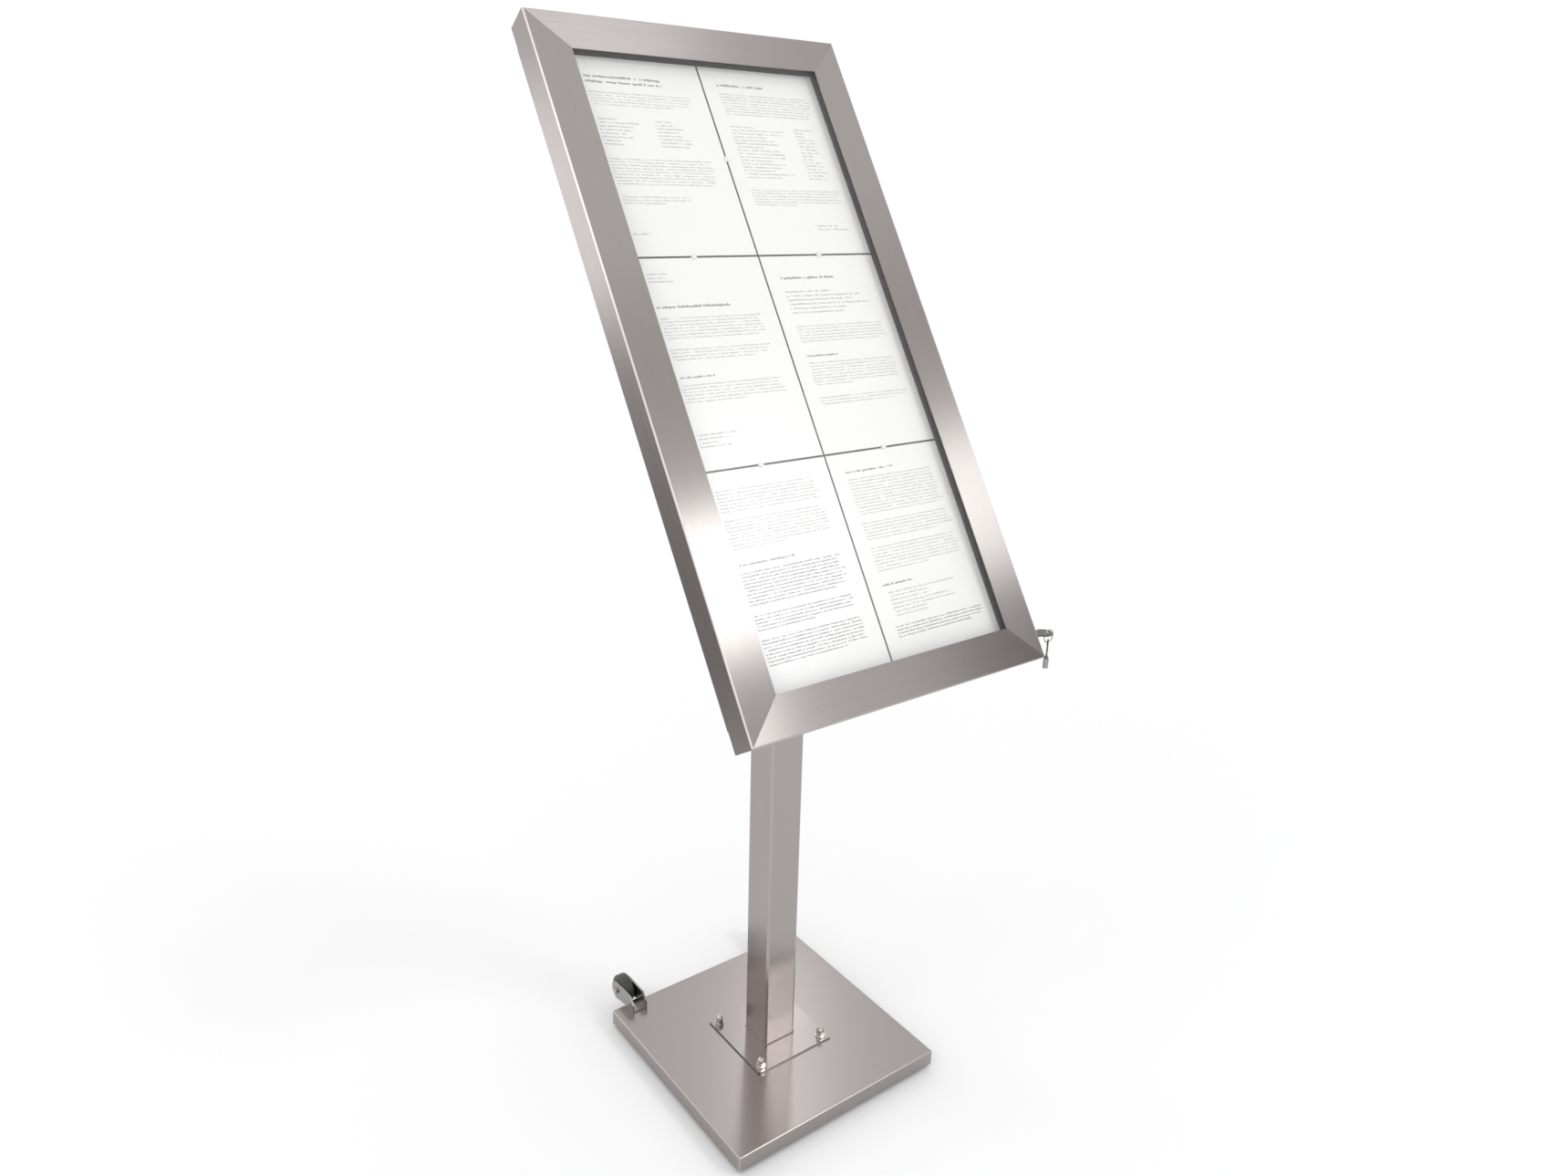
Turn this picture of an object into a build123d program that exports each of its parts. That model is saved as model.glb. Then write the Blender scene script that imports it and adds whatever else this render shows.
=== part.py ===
from build123d import *
from math import cos, radians, sin, sqrt
import os

# Information display case on a stand that tips back onto two castors.
# Millimetres, +Z up, +X along the width of the case, the front faces -Y.
# The origin lies on the floor under the middle of the base.

# Base
BASE_SIDE = 395.0
BASE_SKIRT = 26.0
BASE_SHEET = 1.5
BASE_BEND = 2.5
BALLAST_THICKNESS = 15.0
BALLAST_GAP = 1.5
FOOT_LIFT = 8.0
FOOT_DIAMETER = 32.0
FOOT_INSET = 34.0
FOOT_CHAMFER = 2.0
FOOT_SCREW = 6.0
FOOT_SCREW_HEAD = 12.0
FOOT_SCREW_HEAD_HEIGHT = 3.5
FOOT_HEAD_RECESS = 6.0

# Post and its flange
POST_SIDE = 60.0
POST_WALL = 2.0
POST_CORNER = 4.0
FLANGE_SIDE = 150.0
FLANGE_THICKNESS = 3.0
FLANGE_CORNER = 3.0
WELD_LEG = 1.5
WELD_ROUND = 1.3
FLANGE_HOLE_PITCH = 124.0
STUD = 8.0
STUD_ENGAGED = 9.0
WASHER_DIAMETER = 17.0
WASHER_THICKNESS = 1.6
DOME_NUT_FLATS = 13.0
DOME_NUT_HEX_HEIGHT = 7.0
DOME_NUT_HEIGHT = 15.0
DOME_SHOULDER = 0.4

# Castors
CASTOR_INSET = 40.0
CASTOR_SHEET = 3.0
CASTOR_FOOT_LENGTH = 27.5
CASTOR_NOSE = 12.0
CASTOR_HEIGHT = 27.0
AXLE_BEHIND_EDGE = 31.0
AXLE_ABOVE_BASE = 9.7
CASTOR_END_RADIUS = 17.0
WHEEL_DIAMETER = 50.0
WHEEL_WIDTH = 20.0
WHEEL_SIDE_GAP = 1.0
WHEEL_SHOULDER = 5.0
HUB_DIAMETER = 34.0
HUB_RECESS = 4.0
HUB_BOSS_DIAMETER = 16.0
HUB_SIDE_GAP = 0.3
AXLE = 5.0
AXLE_HEAD_FLATS = 8.0
AXLE_HEAD_HEIGHT = 3.5
AXLE_NUT_HEIGHT = 4.0
AXLE_TAIL = 2.0
CASTOR_SCREW = 5.0
CASTOR_SCREW_HEAD = 9.5
CASTOR_SCREW_HEAD_HEIGHT = 2.25
CASTOR_SCREW_SOCKET = 3.0
CASTOR_SCREW_SOCKET_DEPTH = 1.8
CASTOR_SCREW_SPREAD = 12.0

# Display case
CASE_WIDTH = 515.0
CASE_HEIGHT = 1000.0
CASE_LEAN = 33.0
CASE_EDGE_FORWARD = 295.0
CASE_EDGE_HEIGHT = 777.5
FRAME_FACE = 55.0
FRAME_DEPTH = 42.0
FRAME_SHEET = 1.5
FRAME_BEND = 2.5
MITRE_GAP = 0.1
PANE_THICKNESS = 4.0
PANE_LAP = 20.0
PANE_CORNER = 1.0
SEAL_SETBACK = 3.5
SEAL_WIDTH = 8.0
CLIP_SHEET = 1.5
CLIP_WIDTH = 16.0
CLIP_FOOT = 15.5
CLIP_BITE = 7.5
CLIP_EDGE_GAP = 1.0
CLIP_STUD = 4.0
CLIP_STUD_LENGTH = 7.0
CLIP_NUT_FLATS = 7.0
CLIP_NUT_HEIGHT = 3.2
STILE_CLIPS = 4
RAIL_CLIPS = 2

# Back of the case and what is shown in it
BACK_SHEET = 1.5
BACK_LIP = 10.0
BACK_BEND = 2.5
BACK_CLEARANCE = 3.0
DISPLAY_DEPTH = 18.0
DISPLAY_SIDE_ROOM = 31.0
DISPLAY_END_ROOM = 36.5
DISPLAY_SHEET = 1.2
DISPLAY_BEND = 2.0
DISPLAY_FLANGE = 12.0
PAPER_WIDTH = 210.0
PAPER_HEIGHT = 297.0
PAPER_THICKNESS = 0.3
PAPER_GAP = 3.0
PAPER_COLUMNS = ("left", "right")
PAPER_ROWS = ("lower", "middle", "upper")
MAGNET_DIAMETER = 8.0
MAGNET_HEIGHT = 3.0
RIVET = 3.2
RIVET_HEAD = 6.4
RIVET_HEAD_HEIGHT = 1.2
RIVET_TAIL = 5.0
RIVET_TAIL_HEIGHT = 0.9
END_RIVETS = 5

# Head of the post
HEAD_WIDTH = 140.0
HEAD_HEIGHT = 200.0
HEAD_THICKNESS = 5.0
HEAD_CORNER = 10.0
HEAD_BOLT_ACROSS = 100.0
HEAD_BOLT_UP = 160.0
STIFFENER_MARGIN = 20.0
STIFFENER_THICKNESS = 4.0
HEAD_BOLT = 8.0
HEAD_BOLT_FLATS = 13.0
HEAD_BOLT_HEAD = 5.3
HEAD_NUT_HEIGHT = 6.5
HEAD_BOLT_TAIL = 2.0

# Door hinge
HINGE_END_ROOM = 30.0
HINGE_KNUCKLES = 17
HINGE_BARREL = 6.0
HINGE_PIN = 3.0
HINGE_SHEET = 1.2
HINGE_FIXED_LEAF = 15.0
HINGE_DOOR_LEAF = 23.0
HINGE_KNUCKLE_GAP = 0.3
HINGE_RIVETS = 8

# Lock and keys
LOCK_UP = 34.0
LOCK_DEPTH = 14.0
LOCK_BARREL = 16.0
LOCK_LENGTH = 20.5
LOCK_HEAD = 19.0
LOCK_HEAD_HEIGHT = 4.5
LOCK_NUT_FLATS = 19.0
LOCK_NUT_HEIGHT = 4.0
PLUG_DIAMETER = 12.0
PLUG_TAIL = 6.0
KEYWAY_DEPTH = 9.5
CAM_THICKNESS = 2.0
CAM_WIDTH = 10.0
CAM_LENGTH = 17.0
CAM_SCREW = 4.0
CAM_SCREW_HEAD = 8.0
CAM_SCREW_HEAD_HEIGHT = 2.5
CAM_SCREW_LENGTH = 8.0
KEEPER_SHEET = 1.8
KEEPER_LIP = 14.0
KEEPER_WIDTH = 14.0
KEEPER_CAM_GAP = 1.2
KEEPER_OFFSET = 8.0
KEEPER_END_GAP = 3.3
KEEPER_BEND = 2.5
KEY_TUBE = 8.0
KEY_TUBE_WALL = 1.2
KEY_TUBE_LENGTH = 14.5
KEY_BORE_DEPTH = 12.0
KEY_NECK = 6.5
KEY_NECK_WIDTH = 15.0
KEY_BOW = 26.0
KEY_BOW_THICKNESS = 2.2
KEY_BOW_EDGE = 0.6
KEY_HOLE = 8.0
KEY_RIM = 2.2
RING_RADIUS = 9.5
RING_WIRE = 1.5
RING_SEAT_GAP = 0.3
SPARE_KEY_TWIST = -50.0
SPARE_KEY_DROP = 0.8

# Shapes that fasteners share
CROWN_SLOPE = 0.5
HEAD_ROUND = 0.6
BUTTON_ROUND = 1 / 3

# Fits
PIN_PLAY = 0.05
HOLE_PLAY = 0.2
KEY_PLAY = 0.1
SOFT_PLAY = 0.3

# Heights of the stand
base_top = FOOT_LIFT + BASE_SKIRT
ballast_top = base_top - BASE_SHEET
ballast_bottom = ballast_top - BALLAST_THICKNESS
flange_top = base_top + FLANGE_THICKNESS
ballast_side = BASE_SIDE - 2 * (BASE_SHEET + BALLAST_GAP)
foot_reach = BASE_SIDE / 2 - FOOT_INSET
castor_reach = BASE_SIDE / 2 - CASTOR_INSET
castor_gap = WHEEL_WIDTH + 2 * WHEEL_SIDE_GAP

# Depths in the case, measured back from the front face
pane_back = FRAME_SHEET + PANE_THICKNESS
back_front = FRAME_DEPTH - BACK_SHEET
hinge_axis_depth = FRAME_DEPTH + SOFT_PLAY + HINGE_BARREL / 2
head_back = FRAME_DEPTH + HEAD_THICKNESS

# Widths and heights in the case
opening_x = CASE_WIDTH / 2 - FRAME_FACE
inside_x = CASE_WIDTH / 2 - FRAME_SHEET
display_width = 2 * (inside_x - DISPLAY_SIDE_ROOM)
display_height = CASE_HEIGHT - 2 * (FRAME_SHEET + DISPLAY_END_ROOM)
# Sheets lie a gap apart; where the panel is too small for that they lap, every second one lifted
column_step = min(PAPER_WIDTH + PAPER_GAP, (display_width - PAPER_WIDTH) / (len(PAPER_COLUMNS) - 1))
row_step = min(PAPER_HEIGHT + PAPER_GAP, (display_height - PAPER_HEIGHT) / (len(PAPER_ROWS) - 1))
column_lift = PAPER_THICKNESS if column_step < PAPER_WIDTH else 0
row_lift = 2 * PAPER_THICKNESS if row_step < PAPER_HEIGHT else 0
paper_front = DISPLAY_DEPTH - PAPER_THICKNESS - column_lift - row_lift

hinge_length = CASE_HEIGHT - 2 * HINGE_END_ROOM
hinge_axis_x = -inside_x + HINGE_BARREL / 2
mid_height = CASE_HEIGHT / 2

# The case has its own frame: x across, y up the slope, z out of the front face
lean = radians(CASE_LEAN)
case_frame = Plane(
    origin=(0, -CASE_EDGE_FORWARD, CASE_EDGE_HEIGHT),
    x_dir=(1, 0, 0),
    z_dir=(0, -cos(lean), sin(lean)),
).location

# Where the post's axis meets the back of the head plate, up the slope
head_up = (CASE_EDGE_FORWARD - head_back * cos(lean)) / sin(lean)


def on_case(shape):
    """Move a shape from the case's own frame to the part's frame."""
    return case_frame * shape


def disc(diameter, height, bore=0.0):
    """Round plate or rod on the XY plane, growing up, with an optional bore."""
    face = Circle(diameter / 2)
    if bore:
        face = face - Circle(bore / 2)
    return extrude(face, height)


def hexagon(flats, height, bore=0.0):
    """Hexagon bar on the XY plane, growing up, with an optional bore."""
    face = RegularPolygon(flats / 2, 6, major_radius=False)
    if bore:
        face = face - Circle(bore / 2)
    return extrude(face, height)


def crowned(flats, height, bore=0.0):
    """Hexagon whose upper corners are turned down to a cone, as on a bolt head or nut."""
    corner = flats / sqrt(3)
    shoulder = height - (corner - flats / 2) * CROWN_SLOPE
    outline = Polyline((0, 0), (corner, 0), (corner, shoulder), (flats / 2, height), (0, height), close=True)
    turned = revolve(make_face(Plane.XZ * outline), Axis.Z)
    return hexagon(flats, height, bore) & turned


def bolt(diameter, length, flats, head_height):
    """Hexagon bolt whose head sits above z = 0 and whose shank hangs below."""
    return crowned(flats, head_height) + Pos(0, 0, -length) * disc(diameter, length)


def screw(diameter, length, head_diameter, head_height):
    """Round-headed screw whose head sits above z = 0 and whose shank hangs below."""
    head = disc(head_diameter, head_height)
    head = fillet(head.edges().group_by(Axis.Z)[-1], head_height * HEAD_ROUND)
    return head + Pos(0, 0, -length) * disc(diameter, length)


def flat_head(diameter, head_diameter, head_height):
    """Cone of a countersunk head, or of the seat for one, with its wide end at z = 0."""
    return Pos(0, 0, -head_height / 2) * Cone(diameter / 2, head_diameter / 2, head_height)


def rivet(grip):
    """Blind rivet: domed head above z = 0, shank through the grip, tail set below it."""
    head = disc(RIVET_HEAD, RIVET_HEAD_HEIGHT)
    head = fillet(head.edges().group_by(Axis.Z)[-1], RIVET_HEAD_HEIGHT * HEAD_ROUND)
    shank = Pos(0, 0, -grip) * disc(RIVET, grip)
    tail = Pos(0, 0, -grip - RIVET_TAIL_HEIGHT) * disc(RIVET_TAIL, RIVET_TAIL_HEIGHT)
    return head + shank + tail


def folded_pan(width, length, depth, sheet, bend):
    """Sheet folded back on four sides: its face lies at z = 0 and its rim hangs below."""
    outer = extrude(RectangleRounded(width, length, bend), -depth)
    outer = fillet(outer.edges().group_by(Axis.Z)[-1], bend)
    inner_bend = bend - sheet
    inner = extrude(RectangleRounded(width - 2 * sheet, length - 2 * sheet, inner_bend), -depth)
    inner = fillet(inner.edges().group_by(Axis.Z)[-1], inner_bend)
    return outer - Pos(0, 0, -sheet) * inner


def four_corners(across, up):
    """Locations at the corners of a rectangle about the origin."""
    return [Pos(x, y) for x in (-across / 2, across / 2) for y in (-up / 2, up / 2)]


def spread(count, length):
    """Even places along a length about its middle, half a step in from its ends."""
    step = length / count
    return [(i + 0.5) * step - length / 2 for i in range(count)]


def drilled(solid, places, diameter):
    """Cut a through hole along z at each place."""
    reach = solid.bounding_box().size.length
    for place in places:
        solid = solid - place * Cylinder(diameter / 2, 2 * reach)
    return solid


def at_each(places, shape):
    """One copy of a shape at each place, as a group of separate solids."""
    return [place * shape for place in places]


# Base with its ballast and feet
foot_places = four_corners(2 * foot_reach, 2 * foot_reach)
stud_places = four_corners(FLANGE_HOLE_PITCH, FLANGE_HOLE_PITCH)
castor_screw_y = BASE_SIDE / 2 - CASTOR_FOOT_LENGTH / 2
castor_screw_pair = [Pos(step * CASTOR_SCREW_SPREAD / 2, castor_screw_y) for step in (-1, 1)]
castor_screw_places = [Pos(side * castor_reach, 0) * at for side in (-1, 1) for at in castor_screw_pair]
base_holes = [(stud_places, STUD), (castor_screw_places, CASTOR_SCREW)]


def base_pan():
    pan = Pos(0, 0, base_top) * folded_pan(BASE_SIDE, BASE_SIDE, BASE_SKIRT, BASE_SHEET, BASE_BEND)
    for places, diameter in base_holes:
        pan = drilled(pan, places, diameter + 2 * HOLE_PLAY)
    return pan


def ballast_plate():
    plate = Pos(0, 0, ballast_bottom) * extrude(Rectangle(ballast_side, ballast_side), BALLAST_THICKNESS)
    for places, diameter in base_holes + [(foot_places, FOOT_SCREW)]:
        plate = drilled(plate, places, diameter + 2 * PIN_PLAY)
    return plate


def foot():
    """Rubber foot under the ballast, with a stepped hole for its screw."""
    body = disc(FOOT_DIAMETER, ballast_bottom, FOOT_SCREW + 2 * HOLE_PLAY)
    lower_rim = body.edges().filter_by(GeomType.CIRCLE).group_by(Axis.Z)[0].sort_by(SortBy.LENGTH)[-1]
    body = chamfer(lower_rim, FOOT_CHAMFER)
    return body - disc(FOOT_SCREW_HEAD + 2 * HOLE_PLAY, FOOT_HEAD_RECESS)


def foot_screw():
    length = ballast_bottom - FOOT_HEAD_RECESS + BALLAST_THICKNESS
    upright = screw(FOOT_SCREW, length, FOOT_SCREW_HEAD, FOOT_SCREW_HEAD_HEIGHT)
    return Pos(0, 0, FOOT_HEAD_RECESS) * Rot(180, 0, 0) * upright


# Post, flange and their fixings
def flange_plate():
    outline = RectangleRounded(FLANGE_SIDE, FLANGE_SIDE, FLANGE_CORNER)
    plate = Pos(0, 0, base_top) * extrude(outline, FLANGE_THICKNESS)
    return drilled(plate, stud_places, STUD + 2 * HOLE_PLAY)


post_reach = CASE_EDGE_HEIGHT + CASE_HEIGHT


def post_bar():
    """The post's outer form, square and longer than the post."""
    return Pos(0, 0, flange_top) * extrude(RectangleRounded(POST_SIDE, POST_SIDE, POST_CORNER), post_reach)


def post_tube():
    """Square tube, cut on the slant where the head plate meets it."""
    inner_side = POST_SIDE - 2 * POST_WALL
    bore = extrude(RectangleRounded(inner_side, inner_side, POST_CORNER - POST_WALL), 2 * post_reach)
    block = Box(*3 * [2 * post_reach], align=(Align.CENTER, Align.CENTER, Align.MAX))
    return (post_bar() - bore) & on_case(Pos(0, head_up, -head_back) * block)


def weld_bead(width, length):
    """Rounded bead on the XY plane round a bar of this section; the bar itself is still to be cut."""
    outline = RectangleRounded(width + 2 * WELD_LEG, length + 2 * WELD_LEG, POST_CORNER + WELD_LEG)
    bead = extrude(outline, WELD_LEG)
    return fillet(bead.edges().group_by(Axis.Z)[-1], WELD_ROUND)


def post_foot_weld():
    return Pos(0, 0, flange_top) * weld_bead(POST_SIDE, POST_SIDE) - post_bar()


def post_head_weld():
    """Bead behind the head plate, where the post meets it on the slant."""
    bead = Rot(0, 180, 0) * weld_bead(POST_SIDE, POST_SIDE / sin(lean))
    return on_case(Pos(0, head_up, -head_back) * bead) - post_bar()


def dome_nut():
    """Cap nut: hexagon below, dome above, blind hole from its seat."""
    dome_radius = DOME_NUT_FLATS / 2 - DOME_SHOULDER
    hexagon_part = crowned(DOME_NUT_FLATS, DOME_NUT_HEX_HEIGHT)
    arc_start = DOME_NUT_HEIGHT - dome_radius
    dome_outline = Polyline((0, 0), (dome_radius, 0), (dome_radius, arc_start)) + RadiusArc(
        (dome_radius, arc_start), (0, DOME_NUT_HEIGHT), -dome_radius
    ) + Line((0, DOME_NUT_HEIGHT), (0, 0))
    dome = revolve(make_face(Plane.XZ * dome_outline), Axis.Z)
    return hexagon_part + dome - disc(STUD + 2 * KEY_PLAY, WASHER_THICKNESS + STUD_ENGAGED)


def flange_stud():
    length = BALLAST_THICKNESS + BASE_SHEET + FLANGE_THICKNESS + WASHER_THICKNESS + STUD_ENGAGED
    return Pos(0, 0, ballast_bottom) * disc(STUD, length)


# Head of the post, bolted to the back of the case
head_bolt_places = four_corners(HEAD_BOLT_ACROSS, HEAD_BOLT_UP)


def head_plate():
    plate = extrude(RectangleRounded(HEAD_WIDTH, HEAD_HEIGHT, HEAD_CORNER), HEAD_THICKNESS)
    plate = drilled(plate, head_bolt_places, HEAD_BOLT + 2 * HOLE_PLAY)
    return on_case(Pos(0, head_up, -head_back) * plate)


def head_stiffener():
    width = HEAD_WIDTH + 2 * STIFFENER_MARGIN
    height = HEAD_HEIGHT + 2 * STIFFENER_MARGIN
    plate = extrude(Rectangle(width, height), STIFFENER_THICKNESS)
    plate = drilled(plate, head_bolt_places, HEAD_BOLT + 2 * HOLE_PLAY)
    return on_case(Pos(0, head_up, -back_front) * plate)


def head_bolts():
    grip = HEAD_THICKNESS + BACK_SHEET + STIFFENER_THICKNESS
    one = Rot(180, 0, 0) * bolt(
        HEAD_BOLT, grip + HEAD_NUT_HEIGHT + HEAD_BOLT_TAIL, HEAD_BOLT_FLATS, HEAD_BOLT_HEAD
    )
    seat = Pos(0, head_up, -head_back)
    return [on_case(seat * place * one) for place in head_bolt_places]


def head_nuts():
    one = crowned(HEAD_BOLT_FLATS, HEAD_NUT_HEIGHT, HEAD_BOLT + 2 * PIN_PLAY)
    seat = Pos(0, head_up, STIFFENER_THICKNESS - back_front)
    return [on_case(seat * place * one) for place in head_bolt_places]


# Castors
axle_y = BASE_SIDE / 2 + AXLE_BEHIND_EDGE
axle_z = base_top + AXLE_ABOVE_BASE
castor_width = castor_gap + 2 * CASTOR_SHEET


def on_axle(side, shape):
    """Stand a shape that was turned about z on a castor's axle, its +z end outwards."""
    return Pos(side * castor_reach, axle_y, axle_z) * Rot(0, side * 90, 0) * shape


def castor_bracket(side):
    """Folded fork: two cheeks round the axle and a web that lies on the base."""
    rear = BASE_SIDE / 2
    front = rear - CASTOR_FOOT_LENGTH
    edge = (rear + HOLE_PLAY, 0)
    nose_low = (front, CASTOR_HEIGHT - CASTOR_NOSE)
    nose_high = (front + CASTOR_NOSE, CASTOR_HEIGHT)
    low = (axle_y, AXLE_ABOVE_BASE - CASTOR_END_RADIUS)
    end = (axle_y + CASTOR_END_RADIUS, AXLE_ABOVE_BASE)
    high = (axle_y, AXLE_ABOVE_BASE + CASTOR_END_RADIUS)
    outline = (
        Polyline(edge, low)
        + ThreePointArc(low, end, high)
        + Polyline(high, nose_high, nose_low, (front, 0), edge)
    )
    cheeks = extrude(Plane.YZ * make_face(outline), castor_width / 2, both=True)
    slot_length = 2 * (axle_y + CASTOR_END_RADIUS)
    above_web = Pos(0, 0, CASTOR_SHEET) * Box(
        castor_gap, slot_length, CASTOR_HEIGHT, align=(Align.CENTER, Align.CENTER, Align.MIN)
    )
    behind_web = Pos(0, rear, 0) * Box(
        castor_gap, slot_length, 2 * CASTOR_HEIGHT, align=(Align.CENTER, Align.MIN, Align.CENTER)
    )
    axle_hole = Rot(0, 90, 0) * Cylinder(AXLE / 2 + HOLE_PLAY, 2 * castor_width)
    fork = cheeks - above_web - behind_web - Pos(0, axle_y, AXLE_ABOVE_BASE) * axle_hole
    fork = drilled(fork, castor_screw_pair, CASTOR_SCREW + 2 * HOLE_PLAY)
    seat = flat_head(CASTOR_SCREW + 2 * PIN_PLAY, CASTOR_SCREW_HEAD + 2 * PIN_PLAY, CASTOR_SCREW_HEAD_HEIGHT)
    for place in castor_screw_pair:
        fork = fork - place * Pos(0, 0, CASTOR_SHEET) * seat
    return Pos(side * castor_reach, 0, base_top) * fork


def castor_screws():
    """Countersunk socket screws, flush with the fork's web."""
    length = CASTOR_SHEET + BASE_SHEET + BALLAST_THICKNESS
    one = Pos(0, 0, -length) * disc(CASTOR_SCREW, length)
    one = one + flat_head(CASTOR_SCREW, CASTOR_SCREW_HEAD, CASTOR_SCREW_HEAD_HEIGHT)
    socket = hexagon(CASTOR_SCREW_SOCKET, CASTOR_SCREW_SOCKET_DEPTH)
    one = one - Pos(0, 0, -CASTOR_SCREW_SOCKET_DEPTH) * socket
    return at_each([Pos(0, 0, base_top + CASTOR_SHEET) * place for place in castor_screw_places], one)


def wheel_tyre(side):
    """Solid rubber tyre with rounded shoulders."""
    band = (WHEEL_DIAMETER - HUB_DIAMETER) / 2
    middle = (WHEEL_DIAMETER + HUB_DIAMETER) / 4
    section = Pos(middle, 0) * Rectangle(band, WHEEL_WIDTH)
    section = fillet(section.vertices().group_by(Axis.X)[-1], WHEEL_SHOULDER)
    return on_axle(side, revolve(Plane.XZ * section, Axis.Z))


def wheel_hub(side):
    """Moulded hub, hollowed on both sides round its boss."""
    boss_length = castor_gap - 2 * HUB_SIDE_GAP
    hub = Pos(0, 0, -WHEEL_WIDTH / 2) * disc(HUB_DIAMETER, WHEEL_WIDTH)
    rim = HUB_DIAMETER - 2 * HUB_RECESS
    recess = disc(rim, HUB_RECESS, HUB_BOSS_DIAMETER)
    hub = hub - Pos(0, 0, WHEEL_WIDTH / 2 - HUB_RECESS) * recess - Pos(0, 0, -WHEEL_WIDTH / 2) * recess
    hub = hub + Pos(0, 0, -boss_length / 2) * disc(HUB_BOSS_DIAMETER, boss_length)
    return on_axle(side, hub - Cylinder(AXLE / 2 + PIN_PLAY, 2 * boss_length))


def axle_bolt(side):
    one = bolt(AXLE, castor_width + AXLE_NUT_HEIGHT + AXLE_TAIL, AXLE_HEAD_FLATS, AXLE_HEAD_HEIGHT)
    return on_axle(side, Pos(0, 0, castor_width / 2) * one)


def axle_nut(side):
    one = crowned(AXLE_HEAD_FLATS, AXLE_NUT_HEIGHT, AXLE + 2 * PIN_PLAY)
    return on_axle(side, Pos(0, 0, -castor_width / 2) * Rot(180, 0, 0) * one)


# Door frame: folded members, mitred at the corners
stile_clip_places = spread(STILE_CLIPS, CASE_HEIGHT - 2 * FRAME_FACE)
rail_clip_places = spread(RAIL_CLIPS, CASE_WIDTH - 2 * FRAME_FACE)
pane_edge = FRAME_FACE - PANE_LAP
clip_inner = pane_edge - CLIP_EDGE_GAP
clip_stud_x = clip_inner - CLIP_SHEET - CLIP_FOOT / 2

left_edge = Pos(-CASE_WIDTH / 2, mid_height)
right_edge = Pos(CASE_WIDTH / 2, mid_height) * Rot(0, 0, 180)

members = {
    "door_left_stile": (left_edge, CASE_HEIGHT, stile_clip_places),
    "door_right_stile": (right_edge, CASE_HEIGHT, stile_clip_places),
    "door_bottom_rail": (Rot(0, 0, 90), CASE_WIDTH, rail_clip_places),
    "door_top_rail": (Pos(0, CASE_HEIGHT) * Rot(0, 0, -90), CASE_WIDTH, rail_clip_places),
}


def door_member(name):
    """Folded angle whose outer edge lies on x = 0, with studs for the pane clips."""
    place, length, clip_places = members[name]
    line = FilletPolyline((0, -FRAME_DEPTH), (0, 0), (FRAME_FACE, 0), radius=FRAME_BEND)
    section = make_face(offset(line, FRAME_SHEET, side=Side.RIGHT))
    angle = extrude(Plane.XZ * section, length / 2, both=True)
    half = (length - MITRE_GAP * sqrt(2)) / 2
    mitre = make_face(Polyline(
        (0, -half), (FRAME_FACE, FRAME_FACE - half), (FRAME_FACE, half - FRAME_FACE), (0, half), close=True
    ))
    angle = angle & extrude(mitre, FRAME_DEPTH, both=True)
    for y in clip_places:
        stud = Pos(clip_stud_x, y, -FRAME_SHEET) * Rot(180, 0, 0) * disc(CLIP_STUD, CLIP_STUD_LENGTH)
        angle = angle + stud
    angle = place * angle
    if name == "door_right_stile":
        angle = angle - lock_axis * Cylinder(LOCK_BARREL / 2 + HOLE_PLAY, 2 * FRAME_FACE)
    return on_case(angle)


def clip_shape():
    """Z-shaped clip: its foot lies behind the frame and its tongue holds the pane."""
    foot_end = clip_inner - CLIP_SHEET - CLIP_FOOT
    riser = clip_inner - CLIP_SHEET
    tongue_end = pane_edge + CLIP_BITE
    foot_back = FRAME_SHEET + CLIP_SHEET
    tongue_back = pane_back + CLIP_SHEET
    outline = Polyline(
        (foot_end, -FRAME_SHEET),
        (clip_inner, -FRAME_SHEET),
        (clip_inner, -pane_back),
        (tongue_end, -pane_back),
        (tongue_end, -tongue_back),
        (riser, -tongue_back),
        (riser, -foot_back),
        (foot_end, -foot_back),
        close=True,
    )
    clip = extrude(Plane.XZ * make_face(outline), CLIP_WIDTH / 2, both=True)
    return drilled(clip, [Pos(clip_stud_x, 0)], CLIP_STUD + 2 * HOLE_PLAY)


def clip_places():
    return [place * Pos(0, y) for place, length, ys in members.values() for y in ys]


def pane_clips():
    return [on_case(place * clip_shape()) for place in clip_places()]


def pane_clip_nuts():
    one = Rot(180, 0, 0) * hexagon(CLIP_NUT_FLATS, CLIP_NUT_HEIGHT, CLIP_STUD + 2 * KEY_PLAY)
    seat = Pos(clip_stud_x, 0, -FRAME_SHEET - CLIP_SHEET)
    return [on_case(place * seat * one) for place in clip_places()]


def glazing_pane():
    width = CASE_WIDTH - 2 * pane_edge
    height = CASE_HEIGHT - 2 * pane_edge
    pane = extrude(RectangleRounded(width, height, PANE_CORNER), -PANE_THICKNESS)
    return on_case(Pos(0, mid_height, -FRAME_SHEET) * pane)


def door_seal():
    """Four strips on the back of the pane, just clear of the sheets."""
    height = paper_front - SOFT_PLAY - pane_back
    inner_x = opening_x + SEAL_SETBACK
    inner_y = mid_height - FRAME_FACE + SEAL_SETBACK
    outer_y = inner_y + SEAL_WIDTH
    side_strip = extrude(Rectangle(SEAL_WIDTH, 2 * outer_y), -height)
    end_strip = extrude(Rectangle(2 * inner_x, SEAL_WIDTH), -height)
    seat = Pos(0, mid_height, -pane_back)
    strips = []
    for side in (-1, 1):
        strips.append(on_case(seat * Pos(side * (inner_x + SEAL_WIDTH / 2), 0) * side_strip))
        strips.append(on_case(seat * Pos(0, side * (inner_y + SEAL_WIDTH / 2)) * end_strip))
    return strips


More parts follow.
